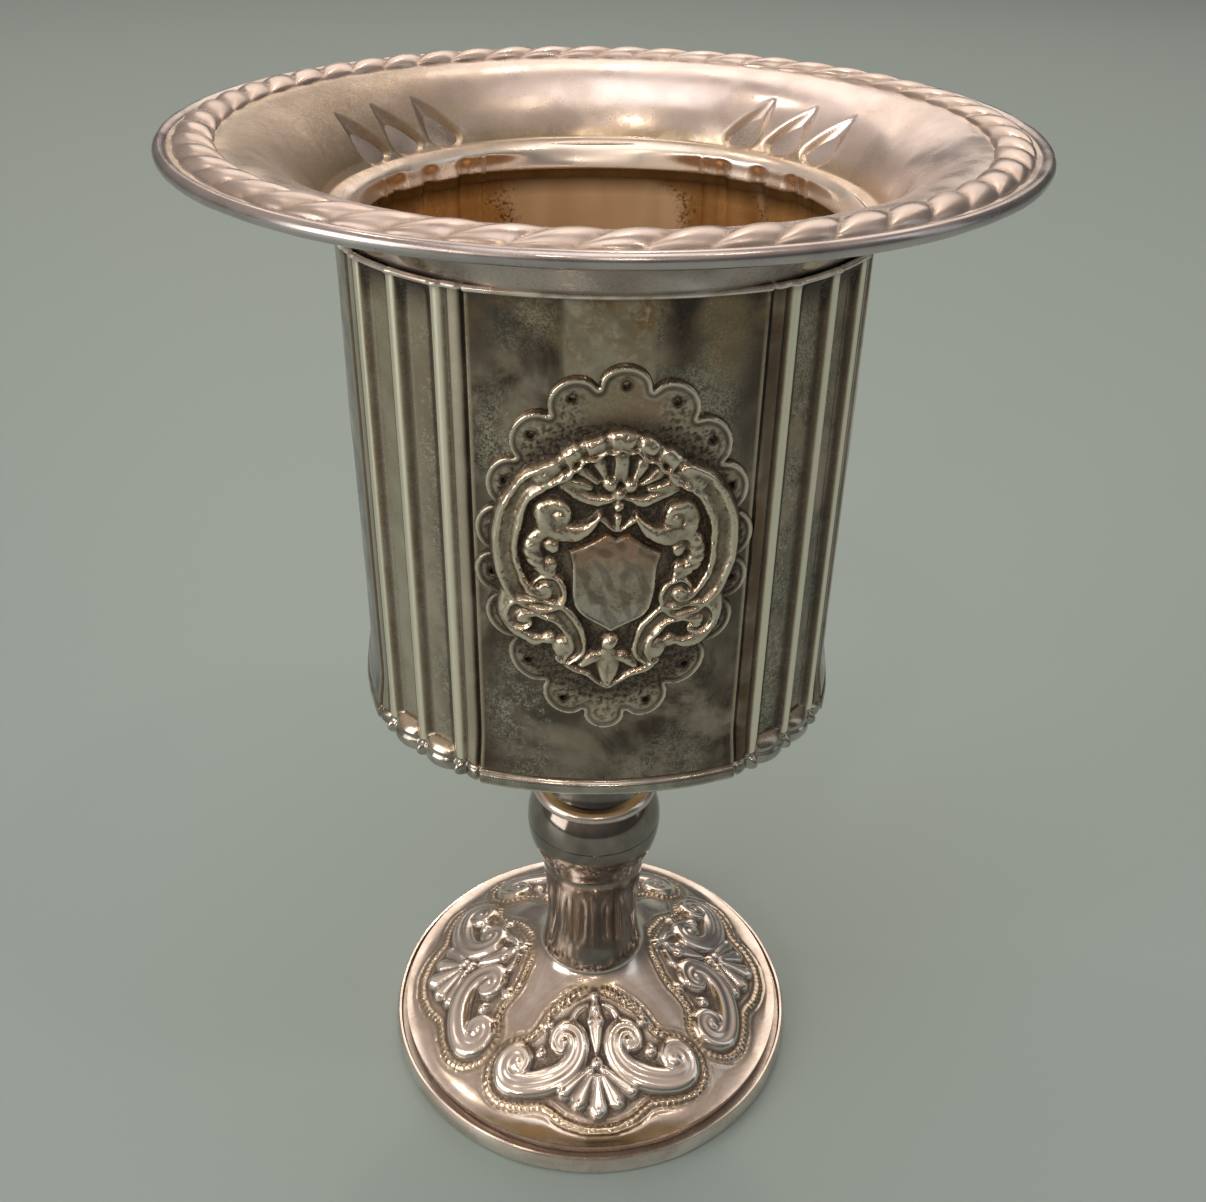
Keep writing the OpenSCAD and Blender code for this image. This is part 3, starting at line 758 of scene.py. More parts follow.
def panel_wear(points, arc, z, blotch):
    """Marks of the four panels; over its plaque the front one also has a painted bright
    reflection and dark bands, one of them a painted dark reflection.
    """
    x = points[..., 0]
    panel = arc < EDGE_ARC
    front = panel * (points[..., 1] < 0)
    above = smooth(z, BOWL_TOP - 13, BOWL_TOP - 7) * front
    mottle = 0.45 + 0.55 * smooth(waves(points, 2.4, 35), -0.6, 0.8)
    # Painted reflection: a bright, warm, mottled strip over the plaque.
    glow = above * smooth(np.abs(x + 1.0), 4.9, 4.3) * mottle
    # Painted dark reflection beside it.
    black = above * bump(x, 6.6, 2.6) * smooth(z, BOWL_TOP - 9, BOWL_TOP - 6)
    olive = above * bump(x, 11.2, 3.2)
    low_dust = front * (bump(x, -11, 6) * bump(z, BOWL_LOW + 12, 8)
                        + bump(x, 8, 6) * bump(z, BOWL_TOP - 13, 6)
                        + bump(x, -12, 5) * bump(z, BOWL_TOP - 17, 9))
    away = smooth(arc, EDGE_ARC - 0.8, EDGE_ARC - 5) * blotches(points, 15, 34, swing=0.6)
    # Painted shade: darker towards the panels' top.
    shade = panel * smooth(z, BOWL_TOP - 12, BOWL_TOP - 3) * (1 - blotch) * (1 - glow)
    dusty = (0.9 * low_dust + 0.7 * away * (0.4 + 0.6 * blotch)) * (1 - glow) * (1 - black)
    brown = panel * smooth(z, BOWL_TOP - 11, BOWL_TOP - 1) * blotch
    return {"soot_and_shade": 0.35 * shade + 0.9 * black, "rub_and_sheen": 0.6 * glow + 0.2 * olive, "dusty": dusty,
            "warm": 0.75 * brown + 0.45 * glow + 0.9 * olive}


def corner_wear(points, arc, z, blotch):
    """Marks of the corners: bright ribs, dusty flutes, warm strips beside the panels,
    painted light on the left corner and painted shade on the right one.
    """
    x, y = points[..., 0], points[..., 1]
    to_rib = rib_distance(arc)
    strip = (smooth(arc, EDGE_ARC + 0.4, EDGE_ARC + 0.9)
             * smooth(arc, FIRST_ARC - 0.5, FIRST_ARC - 0.9))
    # Painted light: the strip beside the front panel on the left is made brighter.
    lit_left_strip = strip * smooth(-x, 8, 14) * (y < 0)
    in_flute = (arc > FIRST_ARC) * smooth(to_rib, 0.5, 1.0)
    near_top = in_flute * smooth(z, BOWL_TOP - 5.0, BOWL_TOP - 1.2)
    near_end = (arc > FIRST_ARC) * smooth(z, MOULDING_TOP + 1.6, MOULDING_TOP + 0.4)
    # Painted light and shade: the left corner's flutes are made brighter, the right corner's get
    # less dust and look darker.
    lit_left_flutes = in_flute * (y < 0) * smooth(-x, 18, 24)
    shaded_right_flutes = smooth(x, 18, 24)
    patchy = 0.4 + 0.6 * blotch
    soot_and_shade = (0.9 * bump(arc, EDGE_ARC + 0.2, 0.42) + 0.9 * near_top
            + 0.8 * bump(to_rib, 1.3, 0.75) * (arc > FIRST_ARC - 1.4)
            + 0.35 * strip * patchy * (1 - lit_left_strip)
            + 0.5 * smooth(z, BOWL_TOP - 1.6, BOWL_TOP - 0.4))
    rub_and_sheen = (smooth(to_rib, 0.86, 0.5) + 0.5 * bump(arc, EDGE_ARC - 0.3, 0.4) + 0.3 * near_end
           + 0.5 * lit_left_flutes + 0.45 * lit_left_strip)
    warm = (0.35 * in_flute * smooth(z, BOWL_TOP - 40, BOWL_TOP - 8)
            + 0.5 * strip * (1 - 0.6 * lit_left_strip) + 0.5 * bump(arc, EDGE_ARC - 0.3, 0.5)
            + 0.8 * bump(to_rib, 1.0, 0.45) * (arc > FIRST_ARC - 1) * patchy
            + 0.4 * lit_left_flutes * blotch)
    return {"soot_and_shade": soot_and_shade * (1 - near_end), "rub_and_sheen": rub_and_sheen, "warm": warm,
            "dusty": in_flute * (0.55 + 0.45 * blotch) * (1 - 0.5 * shaded_right_flutes)}


def build_bowl():
    """Bowl wall with its panels, ribs and flutes outside, and its worn gilding inside."""
    angles = corner_dense_angles()
    folded = folded_angle(angles)[:, None]
    outer_z = np.concatenate([
        np.linspace(MOULDING_TOP, MOULDING_TOP + 3.2, 13, endpoint=False),
        np.linspace(MOULDING_TOP + 3.2, BOWL_TOP - 3.6, 34, endpoint=False),
        np.linspace(BOWL_TOP - 3.6, BOWL_TOP, 13)])
    inner_z = np.linspace(BOWL_TOP - 1.9, MOULDING_TOP, 25)
    r = np.hstack([outer_radius(folded, outer_z[None, :]),
                   inner_radius(folded) + 0 * inner_z[None, :]])
    z = np.concatenate([outer_z, inner_z])[None, :]
    points = around(r, z, angles)
    dents = 0.05 * waves(points, 17, 31) + 0.02 * waves(points, 5, 32)
    on_panel_only = smooth(folded, PANEL_EDGE - 3, PANEL_EDGE - 9)
    points[..., :2] *= 1 + (dents * on_panel_only / RIB_R)[..., None]

    is_outer = np.arange(r.shape[1]) < len(outer_z)
    # Inside, the top of the wall is nearly black: painted shadow under the flange.
    inside = {"soot_and_shade": 0.9 * smooth(z, BOWL_TOP - 5.6, BOWL_TOP - 4.6),
              "scraped": bump(folded, 8, 26) * bump(z, BOWL_TOP - 10, 13)}
    arc, blotch = arc_at(folded), blotches(points, 4.2, 33)
    panel, corner = (wear(points, arc, z, blotch) for wear in (panel_wear, corner_wear))
    marks = {key: np.where(is_outer, np.clip(panel[key] + corner[key], 0, 1), inside.get(key, 0))
             for key in panel}
    marks["scraped"] = np.where(is_outer, 0, inside["scraped"])
    zones = np.zeros(r.shape, np.int32)
    zones[:, len(outer_z) - 1:-1] = 1   # gilded from the top edge inwards
    ring_piece("fluted_bowl", points, [bowl_metal, gilding], "bowl_wall",
               marks, zones.ravel())


def build_moulding():
    """Moulding round the bowl's bottom: lip, groove and the balls that end the flutes."""
    angles = corner_dense_angles()
    folded = folded_angle(angles)[:, None]
    height = np.array([[0, 0.06, 0.15, 0.3, 0.5, 0.75, 1.0, 1.25, 1.5, 1.7, 1.85, 2.0, 2.15, 2.3,
                        2.45, 2.6, MOULDING_TOP - BOWL_LOW, 0]])
    outer = lip_radius(folded, BOWL_LOW + height[:, :-2])
    points = around(np.hstack([outer, inner_radius(folded) + np.zeros((1, 2))]),
                    BOWL_LOW + height, angles)
    arc = arc_at(folded)
    to_panel = smooth(arc, FIRST_ARC, EDGE_ARC)
    on_ball = 1 - to_panel
    worn = blotches(points, 3, 41)
    gaps = smooth(rib_distance(arc), 0.7, 1.1) * smooth(height, 0.35, 0.0)
    crest = 0.85 * bump(height, 0.35, 0.35)
    marks = {"warm": to_panel * (0.8 * bump(height, 2.25, 0.45)
                                 + 0.25 * bump(height, 1.2, 0.8) * worn),
             "rub_and_sheen": to_panel * crest + on_ball * (0.05 + 0.25 * smooth(worn, 0.3, 0.7)),
             "dusty": 0.8 * to_panel * bump(height, 1.3, 0.7),
             "soot_and_shade": 0.55 * to_panel * bump(height, 2.5, 0.35) + 0.6 * on_ball * gaps}
    ring_piece("bowl_moulding", points, [crest_metal], "base_moulding",
               marks)


def build_neck_bead():
    """Half-round bead at the bowl's top edge, which rises and falls over the flutes."""
    angles = corner_dense_angles(30, 110)
    folded = folded_angle(angles)[:, None]
    turn = np.linspace(-np.pi / 2, np.pi / 2, 8)[None, :]
    base = outer_radius(folded, BOWL_TOP - 0.35)
    middle_z, half_h = BOWL_TOP - 0.4, 0.38
    r = np.hstack([base + 0.45 * np.cos(turn), base - 0.15, base - 0.15])
    z = np.hstack([middle_z + half_h * np.sin(turn), [[middle_z + 0.3, middle_z - 0.3]]])
    points = around(r, z, angles)
    worn = blotches(points, 2.2, 51, middle=0.6)
    ring_piece("neck_bead", points, [rim_metal], "neck_ring",
               {"rub_and_sheen": worn, "warm": 0.5 * (1 - worn)})


def build_floor():
    """Bottom of the bowl, dished a little, with a turned mark in its middle."""
    angles = corner_dense_angles(12, 60)
    edge = inner_radius(folded_angle(angles))[:, None]
    f = np.array([0.012, 0.03, 0.05, 0.07, 0.10, 0.2, 0.35, 0.5, 0.65, 0.8, 0.9, 0.96, 0.985, 1.0])
    dish = FLOOR_TOP - 0.25 + 0.25 * f ** 4 - 0.12 * bump(f, 0.05, 0.03)
    r = np.hstack([edge * f[None, :], edge * f[None, ::-1]])
    z = np.concatenate([dish, np.full(len(f), FLOOR_LOW)])[None, :]
    n, m = r.shape
    centres = [[0, 0, dish[0]], [0, 0, FLOOR_LOW]]
    points = np.vstack([around(r, z, angles).reshape(-1, 3), centres])
    top = np.arange(n) * m
    low_edge, after = top + m - 1, np.roll(np.arange(n), -1)
    fans = [np.stack([top, top[after], np.full(n, n * m)], -1),
            np.stack([low_edge[after], low_edge, np.full(n, n * m + 1)], -1)]
    make_piece("gilt_floor", points, [grid_quads(n, m, True), *fans],
               [gilding], ["bowl_floor"])


# ---------- Height fields for the plaques and the foot ----------


def to_segment(x, y, a, b):
    """Distance from a segment, and how far along it the nearest point lies, 0 to 1."""
    d = np.subtract(b, a)
    t = np.clip(((x - a[0]) * d[0] + (y - a[1]) * d[1]) / (d @ d), 0, 1)
    return np.hypot(x - a[0] - t * d[0], y - a[1] - t * d[1]), t


def over_path(x, y, path, width0, width1, middle_width=None):
    """Distance from a path over its half-width there: 0 on the path, 1 at its edge."""
    path = np.asarray(path, float)
    n = len(path) - 1
    best = np.full(x.shape, 9.0)
    for i in range(n):
        distance, t = to_segment(x, y, path[i], path[i + 1])
        s = (i + t) / n
        half = (width0 + (width1 - width0) * s) / 2
        if middle_width is not None:
            half = half + (middle_width / 2 - (width0 + width1) / 4) * np.sin(np.pi * s)
        best = np.minimum(best, distance / half)
    return best


def guttered(x):
    """Cross-section with a hollow between two rounded ridges."""
    return (0.40 + 0.60 * smooth(x, 0.15, 0.66)) * rounded(np.clip((x - 0.62) / 0.38, 0, 1))


def hollowed(x):
    """Round-topped cross-section with a slight hollow along its middle."""
    return (0.80 + 0.20 * smooth(x, 0.0, 0.5)) * np.clip(1 - x ** 2.5, 0, 1) ** 0.5


def ball(x, y, centre, radius, height):
    """Round boss."""
    return height * rounded(np.hypot(x - centre[0], y - centre[1]) / radius)


def raised(x, y, strokes, bosses, nicks=()):
    """Relief of strokes and bosses, of which the highest counts, with nicks cut into it.

    A stroke is (cross-section, height, path, widths), a boss (centre, radius, height) and
    a nick (start, end, width, depth).
    """
    h = np.zeros(x.shape)
    for section, height, path, widths in strokes:
        h = np.maximum(h, height * section(over_path(x, y, path, *widths)))
    for centre, radius, height in bosses:
        h = np.maximum(h, ball(x, y, centre, radius, height))
    for start, end, width, depth in nicks:
        h = h - depth * rounded(over_path(x, y, (start, end), width, width))
    return h


def polygon_distance(x, y, outline):
    """Signed distance from a closed outline, negative inside."""
    best = np.full(x.shape, 1e9)
    inside = np.zeros(x.shape, bool)
    for a, b in zip(outline, np.roll(outline, -1, axis=0)):
        best = np.minimum(best, to_segment(x, y, a, b)[0])
        if a[1] != b[1]:
            crosses = (a[1] > y) != (b[1] > y)
            inside ^= crosses & (x < a[0] + (y - a[1]) * (b[0] - a[0]) / (b[1] - a[1]))
    return np.where(inside, -best, best)


def egg_point(a):
    """Point of the egg-shaped line that the plate's lobes stand on, a in degrees."""
    a = np.radians(a)
    t = a - np.radians(np.where(np.sin(a) < 0, 8, 5) * np.sin(2 * a))
    y = np.sin(t)
    return np.stack([EGG_W * np.cos(t) * np.where(y < 0, 1 - 0.25 * y * y, 1),
                     EGG_MIDDLE + EGG_H * y], -1)


def egg_normal(a):
    """Outward unit normal of the egg-shaped line."""
    d = egg_point(a + 1) - egg_point(a - 1)
    d /= np.hypot(d[..., 0], d[..., 1])[..., None]
    return np.stack([d[..., 1], -d[..., 0]], -1)


def plate_outline():
    """Outline of the pierced plate: a row of round lobes."""
    half = 180 / LOBES
    outline = []
    for i in range(LOBES):
        u = np.linspace(-1, 1, 14, endpoint=False)
        a = 90 + i * 360 / LOBES + half * u
        outline.append(egg_point(a) + (LOBE_H * np.sqrt(1 - 0.9 * u * u))[:, None] * egg_normal(a))
    return np.vstack(outline)


def cut_grid(x, y, field, step):
    """Faces of a grid where field is negative, with the edge points moved onto field = 0.

    Returns the moved points, the quads and the triangles.
    """
    gy, gx = np.gradient(field, step)
    near = np.abs(field) < 0.5 * step
    shift = np.where(near, field / (gx ** 2 + gy ** 2 + 1e-6), 0)
    cells = grid_quads(*field.shape)
    inside = ((field <= 0) | near).ravel()[cells]
    three = inside.sum(1) == 3
    triangles = cells[three][inside[three]].reshape(-1, 3)
    return x - shift * gx, y - shift * gy, cells[inside.all(1)], triangles


def free_edges(faces):
    """Directed edges that only one face uses."""
    edges = np.vstack([np.stack([g[:, k], g[:, (k + 1) % g.shape[1]]], -1)
                       for g in faces for k in range(g.shape[1])])
    big = edges.max() + 1
    forward = edges[:, 0] * big + edges[:, 1]
    backward = edges[:, 1] * big + edges[:, 0]
    return edges[~np.isin(forward, backward)]


def on_panel(x, y, h):
    """Points at a height above the front panel, in the plaque's leaning coordinates."""
    across = x * math.cos(PLAQUE_LEAN) + y * math.sin(PLAQUE_LEAN)
    up = -x * math.sin(PLAQUE_LEAN) + y * math.cos(PLAQUE_LEAN)
    shift = PANEL_CURVE_R - APOTHEM
    return np.stack([across, shift - np.sqrt((PANEL_CURVE_R + h) ** 2 - across ** 2),
                     PLAQUE_Z + up], -1)


def plaque_piece(names, x, y, field, step, top, base, marks, material):
    """A closed plaque layer on the front panel, and its copy on the back panel.

    names are the piece's and the CAD node's names, without front or back. The layer covers
    the grid where field is negative, from the height base up to the heights top.
    """
    x, y, quads, triangles = cut_grid(x, y, field, step)
    used = np.unique(np.concatenate([quads.ravel(), triangles.ravel()]))
    renumber = np.full(x.size, -1)
    renumber[used] = np.arange(len(used))
    quads, triangles = renumber[quads], renumber[triangles]
    edges = free_edges([quads, triangles])
    n = len(used)
    xs, ys = x.ravel()[used], y.ravel()[used]
    points = np.vstack([on_panel(xs, ys, top.ravel()[used]), on_panel(xs, ys, base)])
    walls = np.stack([edges[:, 1], edges[:, 0], edges[:, 0] + n, edges[:, 1] + n], -1)
    faces = [quads, triangles, quads[:, ::-1] + n, triangles[:, ::-1] + n, walls]
    marks = {key: np.concatenate([value.ravel()[used]] * 2) for key, value in marks.items()}
    for side, sign in (("front", 1), ("back", -1)):
        piece, node = (f"{name}_{side}" for name in names)
        make_piece(piece, points * [sign, sign, 1], faces, [material], [node],
                   marks, crisp=50)


def plaque_grid(half_width, bottom, top, step):
    """Sideways and upward places of a grid over the plaque."""
    return np.meshgrid(np.arange(-half_width, half_width, step), np.arange(bottom, top, step))


def hollows_and_crests(height, radius, depth):
    """How sunken and how prominent each point of a height field is, 0 to 1."""
    relative = height - blurred(height, radius)
    return np.clip(-relative / depth, 0, 1), np.clip(relative / depth, 0, 1)


def build_plates():
    """Pierced plates: a lobed rim with a raised line and a hole in each lobe, stippled inside.

    The lobe at the foot has no hole.
    """
    step = 0.155
    x, y = plaque_grid(16.6, -23.2, 25.2, step)
    edge = polygon_distance(x, y, plate_outline())
    holes = np.full(x.shape, -9.0)
    for i in range(LOBES):
        if i != LOBES // 2:
            a = np.array(90 + i * 360 / LOBES)
            p = egg_point(a) + 0.9 * egg_normal(a)
            holes = np.maximum(holes, PIERCE_R - np.hypot(x - p[0], y - p[1]))
    flat = np.stack([x, y], -1)
    stipple = waves(flat, 1.0, 61, 16) + 0.8 * waves(flat, 0.6, 62, 16)
    inner = smooth(edge, -0.8, -1.5)
    crown = smooth(y, 14.5, 18.5) * smooth(np.abs(x), 6, 3)
    punched = inner * (1 - 0.85 * crown) * smooth(stipple, -0.1, 1.1)
    height = (PLATE_H - 0.10 - 0.11 * punched + 0.11 * bump(edge, -0.26, 0.26)
              - 0.06 * bump(edge, -0.72, 0.3) + 0.08 * bump(holes, -0.28, 0.3)
              - 0.26 * smooth(edge, -0.14, 0.0) + 0.02 * waves(flat, 6, 63))
    # Painted shadow on the plate round the scroll frame.
    shadow_round_frame = smooth(np.hypot(x / 13.8, (y - 0.4) / 17.0), 1.14, 1.0)
    soot_and_shade = (0.85 * shadow_round_frame + 0.75 * punched + 0.8 * bump(edge, -0.74, 0.32)
            + 0.9 * smooth(holes, -0.45, -0.1) + 0.6 * smooth(edge, -0.12, 0.02))
    rub_and_sheen = 0.8 * bump(edge, -0.28, 0.3) + 0.35 * smooth(stipple, 0.2, -1.4) * inner
    marks = {"soot_and_shade": np.clip(soot_and_shade, 0, 1), "rub_and_sheen": np.clip(rub_and_sheen, 0, 1), "dusty": 0.6 * inner,
             "warm": (0.85 * crown + 0.35) * inner}
    plaque_piece(("pierced_plaque", "pierced_plate"), x, y, np.maximum(edge, holes), step,
                 height, 0.02, marks, plaque_metal)


def frame_relief(s, y):
    """Scrolls, shells and leaves of the frame round the shield; s is the sideways distance."""
    side = joined(bezier([6.4, 12.3], [11.2, 10.8], [12.7, 5.5], [12.1, 1.0], 16),
                  bezier([12.1, 1.0], [11.6, -2.4], [10.0, -4.6], [7.8, -4.5], 9),
                  spiral([7.8, -2.6], 1.9, 0.9, -90, -330, 16))
    comma = joined(bezier([1.9, 7.5], [2.9, 5.2], [4.6, 4.5], [6.5, 4.9], 10),
                   spiral([6.35, 6.8], 1.9, 1.0, -85, 150, 13))
    curl = spiral([6.35, 6.8], 0.95, 0.35, -40, 260, 10)
    ear = through([(6.9, 4.9), (8.6, 4.2), (9.2, 2.4), (8.6, 0.7), (7.2, -0.4)])
    leaf = joined(spiral([10.0, -6.7], 0.8, 1.5, -140, 95, 14),
                  through([(8.2, -5.1), (5.7, -5.9), (4.0, -8.2), (3.6, -10.4), (4.5, -12.0)]))
    margin = through([(12.2, -3.8), (12.3, -6.0), (11.2, -8.4), (9.0, -9.7), (7.6, -9.5)])
    arch = through([(8.8, 10.9), (6.7, 12.9), (4.6, 14.5), (2.4, 15.6), (0, 16.1)])
    brim = through([(0, 15.2), (0.9, 14.6), (1.7, 14.8), (2.7, 13.9), (3.9, 13.6), (4.6, 12.7),
                    (5.8, 12.2), (6.6, 11.1)])
    lappet = through([(5.8, -12.0), (4.2, -13.3), (2.4, -14.2), (0, -15.9)])
    petal = through([(0.5, -11.3), (2.0, -11.6), (3.0, -12.7)])
    wing = through([(0.8, 9.3), (2.6, 8.8), (4.4, 9.5), (6.2, 10.4)])
    strokes = [
        (guttered, 1.05, side, (2.9, 1.2, 3.3)), (rounded, 1.0, comma, (0.6, 1.0, 2.9)),
        (rounded, 0.9, ear, (1.4, 1.6, 2.2)), (guttered, 1.05, leaf, (1.3, 1.4, 3.1)),
        (rounded, 0.65, margin, (1.0, 1.2, 1.7)), (rounded, 0.95, arch, (1.8, 2.3)),
        (rounded, 1.05, brim, (0.7, 0.7)), (rounded, 0.55, lappet, (0.9, 0.7)),
        (rounded, 0.8, petal, (1.1, 0.9, 1.6)), (rounded, 0.6, wing, (0.7, 0.7, 1.4)),
        (rounded, 0.95, ((0, -11), (0, -15.3)), (2.4, 0.6, 2.8)),
        (rounded, 0.55, ((0, 6.9), (0, 5.2)), (0.8, 0.5)),
        (rounded, 0.55, ((1.6, 6.6), (0.4, 5.3)), (0.8, 0.5))]
    for start, end in (((0.3, 11.4), (0.2, 13.9)), ((1.5, 11.6), (2.3, 13.2)),
                       ((2.5, 11.0), (4.2, 12.2)), ((3.3, 10.3), (5.8, 10.9))):
        strokes.append((rounded, 0.6, (start, end), (0.8, 1.5)))
    bosses = [((7.8, -2.6), 0.9, 1.05), ((6.35, 6.8), 1.4, 1.1), ((7.1, 2.9), 1.0, 0.8),
              ((7.3, 0.6), 0.9, 0.8), ((10.0, -6.7), 1.0, 1.0), ((5.3, -10.3), 1.45, 1.05),
              ((11.6, -4.3), 1.0, 0.75), ((7.0, -9.4), 0.9, 0.7), ((0, -9.4), 1.15, 1.1),
              ((1.1, 10.9), 1.0, 1.0), ((0, 9.8), 0.8, 0.9), ((0, 8.3), 0.75, 0.9)]
    nicks = [((1.5, 15.3), (1.9, 17.6), 0.9, 0.4), ((3.8, 14.2), (4.8, 16.3), 0.9, 0.4),
             ((5.9, 12.6), (7.2, 14.3), 0.9, 0.4), ((0, -11.8), (0, -14.4), 0.3, 0.25)]
    h = raised(s, y, strokes, bosses, nicks)
    return h - 0.25 * rounded(over_path(s, y, curl, 0.32, 0.25))


def shield_outline():
    """Blank shield with two small peaks at the top and a pointed foot."""
    side = np.vstack([[(0, 4.5), (0.7, 4.85), (1.35, 5.05), (2.3, 4.35), (3.6, 3.45), (5.25, 2.65)],
                      bezier([5.15, 2.2], [4.6, 0.4], [4.9, -1.4], [4.7, -3.0], 7),
                      bezier([4.6, -3.6], [4.3, -6.0], [2.2, -6.2], [0.1, -7.7], 8)])
    return np.vstack([side, (side * [-1, 1])[:0:-1]])


def frame_field(relief, body, step):
    """Signed distance from the frame's outline, which goes round its ground and its scrolls.

    body is 1 on the edge of the oval ground and less inside.
    """
    reach = np.minimum((body - 1) * 12.5, 9.0)
    grown = blurred((relief > 0.12).astype(float), 4.2)
    field = np.clip(blurred(np.minimum(reach, (0.30 - grown) * 3.4), 1.6), -2, 2)
    gy, gx = np.gradient(field, step)
    return field / np.maximum(np.hypot(gx, gy), 0.25)


def build_frames():
    """Scroll frames: scrolls, shells and leaves on a domed ground, hatched at the sides."""
    step = 0.125
    x, y = plaque_grid(14.6, -17.4, 18.4, step)
    s = np.abs(x)
    flat = np.stack([x, y], -1)
    relief = frame_relief(s + 0.10 * waves(flat, 5, 72), y + 0.12 * waves(flat, 4, 73))
    relief = relief * (1 + 0.07 * waves(flat, 2.2, 74))
    body = np.where(y > 0, np.hypot(x / 12.9, (y + 0.3) / 16.3), np.hypot(x / 12.9, y / 13.4))
    field = frame_field(relief, body, step)
    fan = bump(s, 9.6, 2.3) * bump(y, 1.8, 6.5) + bump(s, 7.6, 3) * bump(y, 10.2, 2.5)
    hatch = np.abs(np.sin(26 * np.arctan2(y - 1.2, s))) * np.clip(fan, 0, 1)
    ground = (GROUND_H - 0.28 + 0.22 * smooth(body, 1.0, 0.3) + 0.20 * hatch
              - 0.06 * smooth(waves(flat, 0.8, 71, 16), 0.2, 1.2)
              - 0.22 * smooth(field, -0.5, 0.0))
    relief = blurred(relief, 0.95)
    height = np.minimum(ground + relief, SCROLL_H)
    hollow, crest = hollows_and_crests(height, 5.0, 0.34)
    deep = smooth(relief, 0.25, 0.04)
    marks = {"soot_and_shade": np.clip(0.8 * deep * (1 - 0.5 * hatch) + 1.1 * hollow - 0.12, 0, 1),
             "rub_and_sheen": np.clip(1.5 * crest, 0, 1), "dusty": 0.35 * (1 - crest),
             "warm": 0.6 * deep * (1 - hollow) + 0.30}
    plaque_piece(("scroll_work", "scroll_frame"), x, y, field, step, height, PLATE_H - 0.12,
                 marks, plaque_metal)


def build_shields():
    """Blank shields with a bevelled, slightly raised edge."""
    step = 0.10
    x, y = plaque_grid(5.9, -8.3, 5.6, step)
    edge = polygon_distance(x, y, shield_outline())
    flat = np.stack([x, y], -1)
    height = (SHIELD_H - 0.26 + 0.12 * bump(edge, -0.36, 0.34) - 0.40 * smooth(edge, -0.28, 0.0)
              + 0.04 * waves(flat, 3.5, 81))
    worn = blotches(flat, 2.2, 82, swing=0.6)
    marks = {"rub_and_sheen": 0.9 * bump(edge, -0.32, 0.32),
             "soot_and_shade": 0.7 * smooth(edge, -0.16, 0.02) + 0.45 * smooth(worn, 0.5, 0.1),
             "dusty": smooth(y, 2.5, -2.0), "warm": smooth(y, -1.5, 3.0) * (0.55 + 0.45 * worn)}
    plaque_piece(("plain_shield", "blank_shield"), x, y, edge, step, height, GROUND_H - 0.1,
                 marks, shield_metal)


# ---------- Stem ----------


def build_tube():
    """Trumpet-shaped tube between the foot and the knop."""
    waist = np.array([STEM_WAIST_R, STEM_LOW + 7.5])
    tube = joined(
        bezier([STEM_END_R, STEM_LOW], [STEM_END_R - 0.3, STEM_LOW + 2.5], waist - [0, 3],
               waist, 14),
        bezier(waist, waist + [0, 5], [STEM_END_R - 0.2, STEM_TOP - 4], [STEM_END_R, STEM_TOP], 18))
    turned("stem_column", shell_profile(tube), stem_metal, "stem_tube")


def build_knop():
    """The knop's two halves, with a fine seam at its widest point, and the collar on them."""
    lower = bezier([STEM_END_R, STEM_TOP], [STEM_END_R + 0.8, STEM_TOP + 2.6],
                   [KNOP_R, KNOP_MID - 4.2], [KNOP_R, KNOP_MID], 22)
    lower = np.vstack([lower[0] + [-0.02, 0], lower[0] + [0.12, 0.15], lower[2:]])
    turned("knop_lower", shell_profile(lower), stem_metal, "knop_lower_shell")

    upper_r = KNOP_R - 1.6
    upper = bezier([KNOP_R, KNOP_MID], [KNOP_R, KNOP_MID + 2.6], [KNOP_R - 0.9, KNOP_TOP - 1.2],
                   [upper_r, KNOP_TOP], 18)
    upper = np.vstack([upper[0] - [0.12, 0], upper[0] + [0, 0.14], upper[1:]])
    turned("knop_upper", shell_profile(upper), stem_metal, "knop_upper_shell")

    inner_r = radii("knop_collar")[0]
    bead = bezier([upper_r + 0.3, KNOP_TOP + 0.1], [COLLAR_R + 0.25, KNOP_TOP + 0.5],
                  [COLLAR_R + 0.05, COLLAR_TOP - 0.3], [COLLAR_R - 1.1, COLLAR_TOP], 14)
    collar = np.vstack([[[inner_r, KNOP_TOP], [upper_r, KNOP_TOP]], bead, [[inner_r, COLLAR_TOP]]])
    turned("collar_bead", collar, ring_metal, "knop_collar")


def build_neck():
    """Slim neck that widens under the bowl, and the socket that joins it to the bowl's floor."""
    narrow_r = STEM_WAIST_R - 0.8
    narrow = np.array([narrow_r, COLLAR_TOP + 9])
    neck = joined(
        bezier([narrow_r + 1.2, COLLAR_TOP], [narrow_r + 0.2, COLLAR_TOP + 2], narrow - [0, 4],
               narrow, 14),
        bezier(narrow, [narrow_r, NECK_TOP - 6], [narrow_r + 1.8, NECK_TOP - 2],
               [NECK_WIDE_R, NECK_TOP], 20))
    turned("upper_stem", shell_profile(neck), stem_metal, "stem_neck")

    disc_r, rod_r, axis_r = radii("bowl_socket")[1], radii("tie_rod")[1], 0.02
    top, under, bottom = high("bowl_socket"), NECK_TOP, low("bowl_socket")
    socket = [[axis_r, top], [disc_r - 0.4, top], [disc_r - 0.05, top - 0.15], [disc_r, top - 0.3],
              [disc_r, under + 0.15], [disc_r - 0.12, under], [rod_r + 2.6, under],
              [rod_r + 2.6, under - 1.2], [rod_r + 2.1, bottom + 0.2], [rod_r + 1.9, bottom],
              [rod_r, bottom], [rod_r, under - 0.2], [axis_r, under - 0.2]]
    turned("bowl_boss", socket, stem_metal, "bowl_socket", count=96, wobble=0)


# ---------- Foot ----------


